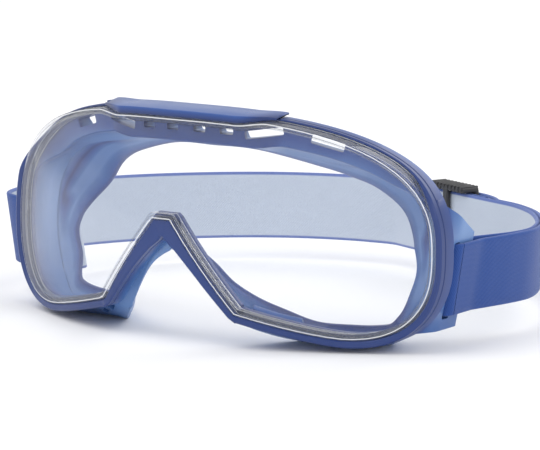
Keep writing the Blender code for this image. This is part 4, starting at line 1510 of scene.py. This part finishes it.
    def ribbon(self, name: str, path: list[Point2], sides: Sequence[float]) -> bpy.types.Object:
        """Makes webbing along a path seen from above.

        Args:
            name: The piece's name.
            path: The webbing's middle line.
            sides: For each point of the path, +1 where the blue face is on the run's left.

        Returns:
            The webbing, with its along, across and side stored on its points.
        """
        work = Workpiece(name)
        shape = self.outline_points()
        sections, stored, length = [], [], 0.0
        for i, (x, y) in enumerate(path):
            before = Vector(path[max(i - 1, 0)])
            after = Vector(path[min(i + 1, len(path) - 1)])
            run = (after - before).normalized()
            across = Vector((run.y, -run.x, 0))
            share = smooth_share(self.frame.wing_rear_y, self.stretch[1], y)
            lean = self.frame.tilt * (1 - share) * (1 if x > 0 else -1)
            up = Vector((lean, 0, 1)).normalized() * self.width / 2
            centre = Vector((x, y, mix(self.frame.strap_z, self.rear_z, share)))
            half = across * self.thickness / 2
            sections.append([centre + up * a + half * s for a, s in shape])
            if i:
                length += (Vector(path[i]) - Vector(path[i - 1])).length
            blue = [0.5 - 0.5 * s * sides[i] for _, s in shape]
            stored.append([(length, a * self.width / 2, b) for (a, _), b in zip(shape, blue)])
        work.loft(sections).clean()
        tree = kdtree.KDTree(len(sections) * len(shape))
        facts = [fact for row in stored for fact in row]
        for i, point in enumerate(p for section in sections for p in section):
            tree.insert(point, i)
        tree.balance()
        found = [facts[tree.find(vert.co)[1]] for vert in work.bm.verts]
        obj = work.finish(60)
        for column, key in enumerate(("along", "across", "side")):
            attribute = obj.data.attributes.new(key, "FLOAT", "POINT")
            attribute.data.foreach_set("value", [fact[column] for fact in found])
        return obj

    def build(self) -> list[bpy.types.Object]:
        """Returns the webbing's two layers and the stop rod."""
        path, turn_at = self.main_path()
        last_turn = range(len(path) - turn_at)
        sides = [1.0] * turn_at + [1.0 - 2 * smooth_share(0, 10, i) for i in last_turn]
        main = self.ribbon("strap_webbing", path, sides)
        Finish.WEBBING.put_on(main, "strap_inner")
        settle(main, "goggles", "strap_main")
        back = self.return_path()
        outer = self.ribbon("strap_outer_layer", back, [-1.0] * len(back))
        Finish.WEBBING.put_on(outer, "strap_outer")
        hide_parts("strap_return")
        far = self.on_stretch(self.slot + self.bar + self.lap, 0)
        wing_end = PLACING.to_row((*self.right_run[2], self.rear_z))
        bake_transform(outer)
        LOG.info("%s: %d faces between goggles and buckle", outer.name, len(outer.data.polygons))
        return [main, outer, self.rod()]

    def rod(self) -> bpy.types.Object:
        """Returns the stop rod in the hem."""
        x, y, _ = self.rod_place()
        work = Workpiece("stop_rod")
        bmesh.ops.create_cone(work.bm, cap_ends=True, segments=24, radius1=self.rod_radius,
                              radius2=self.rod_radius, depth=self.width + 2)
        lean = Matrix.Rotation(-math.atan(self.frame.tilt), 4, "Y")
        bmesh.ops.transform(work.bm, matrix=lean, verts=work.bm.verts)
        bmesh.ops.translate(work.bm, vec=(-x, y, self.frame.strap_z), verts=work.bm.verts)
        rod = work.clean().round_edges(0.3, 60, 3).finish()
        Finish.WIRE.put_on(rod, "rod_steel")
        return settle(rod, "goggles", "strap_stop_rod")


@dataclass
class TriGlide:
    """The black buckle: two ribbed rails, two bars outside the webbing and one inside it."""

    strap: HeadStrap
    rail: float = 2.2
    rib_pitch: float = 2.1
    rib_depth: float = 0.45
    rail_round: float = 0.5
    bar_round: float = 0.6
    rib_round: float = 0.2

    def build(self) -> bpy.types.Object:
        """Returns the buckle."""
        strap = self.strap
        layer = strap.thickness + GAP
        low = strap.thickness / 2 + GAP + layer
        inner = -(strap.thickness / 2 + GAP + strap.buckle_thickness)
        outer = low + strap.buckle_thickness
        rail_z = strap.width / 2 + GAP + self.rail / 2
        length = 3 * strap.bar + 2 * strap.slot
        middle = (outer + inner) / 2
        place = Matrix.Translation((*strap.stretch, strap.rear_z))
        place = place @ Matrix.Rotation(strap.turn, 4, "Z")
        rail_size = (length, outer - inner - self.rib_depth, self.rail - self.rib_depth)
        bar_size = (strap.bar, strap.buckle_thickness, 2 * rail_z)
        core_z = rail_z - self.rib_depth / 2
        shapes = [(rail_size, (0, middle, z), self.rail_round) for z in (core_z, -core_z)]
        side = strap.slot + strap.bar
        outer_y = low + strap.buckle_thickness / 2
        shapes += [(bar_size, (x, outer_y, 0), self.bar_round) for x in (-side, side)]
        shapes.append((bar_size, (0, inner + strap.buckle_thickness / 2, 0), self.bar_round))
        count = int(length / self.rib_pitch)
        for sign in (1, -1):
            for i in range(count):
                x = (i - (count - 1) / 2) * self.rib_pitch
                size = (self.rib_pitch * 0.5, outer - inner, self.rail)
                shapes.append((size, (x, middle, sign * rail_z), self.rib_round))
        objects = []
        for i, (size, centre, rounding) in enumerate(shapes):
            part = Workpiece(f"part_{i}").box(size, centre, None, rounding).clean()
            bmesh.ops.transform(part.bm, matrix=place, verts=part.bm.verts)
            objects.append(part.finish())
        objects[0].name = objects[0].data.name = "triglide_body"
        combine(objects[0], objects[1:], "UNION")
        shade(objects[0], 40)
        Finish.NYLON.put_on(objects[0], "black_plastic")
        return settle(objects[0], "buckle", "triglide_buckle")


# ------------------------------------------------------------------ studio


@dataclass
class Studio:
    """The pale floor, the lights and the camera."""

    azimuth: float = 35.0
    elevation: float = 9.06
    distance: float = 1200.0
    aim: Point2 = (34.8, -3.2)
    focal: float = 252.0
    world_strength: float = 0.9
    floor_radius: float = 9.0
    lights: tuple[tuple[str, tuple[float, float, float], float, float], ...] = (
        ("top_softbox", (-0.5, -0.6, 1.3), 1.2, 6.0),
        ("side_softbox", (1.4, -0.5, 0.7), 0.8, 4.0),
        ("rear_softbox", (0.2, 1.4, 0.9), 1.0, 6.0),
    )

    def build(self) -> None:
        """Makes the whole studio."""
        self.floor()
        self.world()
        for name, place, size, power in self.lights:
            self.light(name, place, size, power)
        self.camera()

    def floor(self) -> None:
        """Makes the floor that the goggles stand on."""
        work = bmesh.new()
        bmesh.ops.create_circle(work, segments=96, radius=self.floor_radius, cap_ends=True)
        mesh = bpy.data.meshes.new("studio_floor")
        work.to_mesh(mesh)
        work.free()
        floor = bpy.data.objects.new("studio_floor", mesh)
        bpy.context.scene.collection.objects.link(floor)
        floor.data.materials.append(PaleFloor("studio_paper").material())

    def world(self) -> None:
        """Makes the even light from all round."""
        world = bpy.data.worlds.new("studio_air")
        world.use_nodes = True
        background = world.node_tree.nodes["Background"]
        background.inputs["Color"].default_value = (1.0, 1.0, 1.0, 1.0)
        background.inputs["Strength"].default_value = self.world_strength
        bpy.context.scene.world = world

    def light(self, name: str, place: Sequence[float], size: float, power: float) -> None:
        """Adds a square softbox that faces the goggles."""
        data = bpy.data.lights.new(name, "AREA")
        data.size = size
        data.energy = power
        obj = bpy.data.objects.new(name, data)
        bpy.context.scene.collection.objects.link(obj)
        obj.location = place
        obj.rotation_euler = (-Vector(place)).to_track_quat("-Z", "Y").to_euler()

    def camera(self) -> None:
        """Adds the camera and makes it the scene's."""
        azimuth, elevation = math.radians(self.azimuth), math.radians(self.elevation)
        level = math.cos(elevation)
        back = Vector((math.sin(azimuth) * level, -math.cos(azimuth) * level, math.sin(elevation)))
        right = Vector((math.cos(azimuth), math.sin(azimuth), 0))
        up = back.cross(right)
        target = right * self.aim[0] + up * self.aim[1]
        data = bpy.data.cameras.new("studio_camera")
        data.lens = self.focal
        data.sensor_width = 36.0
        data.clip_start = 0.01
        data.clip_end = 50.0
        obj = bpy.data.objects.new("studio_camera", data)
        bpy.context.scene.collection.objects.link(obj)
        obj.location = PLACING.to_row(target + back * self.distance)
        obj.rotation_euler = back.to_track_quat("Z", "Y").to_euler()
        bpy.context.scene.camera = obj


def write_sizes() -> None:
    """Brings the view layer up to date."""
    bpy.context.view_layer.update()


def main() -> None:
    """Builds every piece in order."""
    logging.basicConfig(level=logging.INFO, format="%(name)s %(message)s")
    bpy.context.scene.view_settings.view_transform = "Standard"
    Studio().build()
    LensWindow().build()
    soft_frame = GoggleFrame()
    soft_frame.build()
    soft_frame.vent_cover("left", 1)
    soft_frame.vent_cover("right", -1)
    FaceSkirt().build()
    BrowCover().build()
    strap = HeadStrap(soft_frame)
    strap.build()
    TriGlide(strap).build()
    write_sizes()


if __name__ == "__main__":
    main()
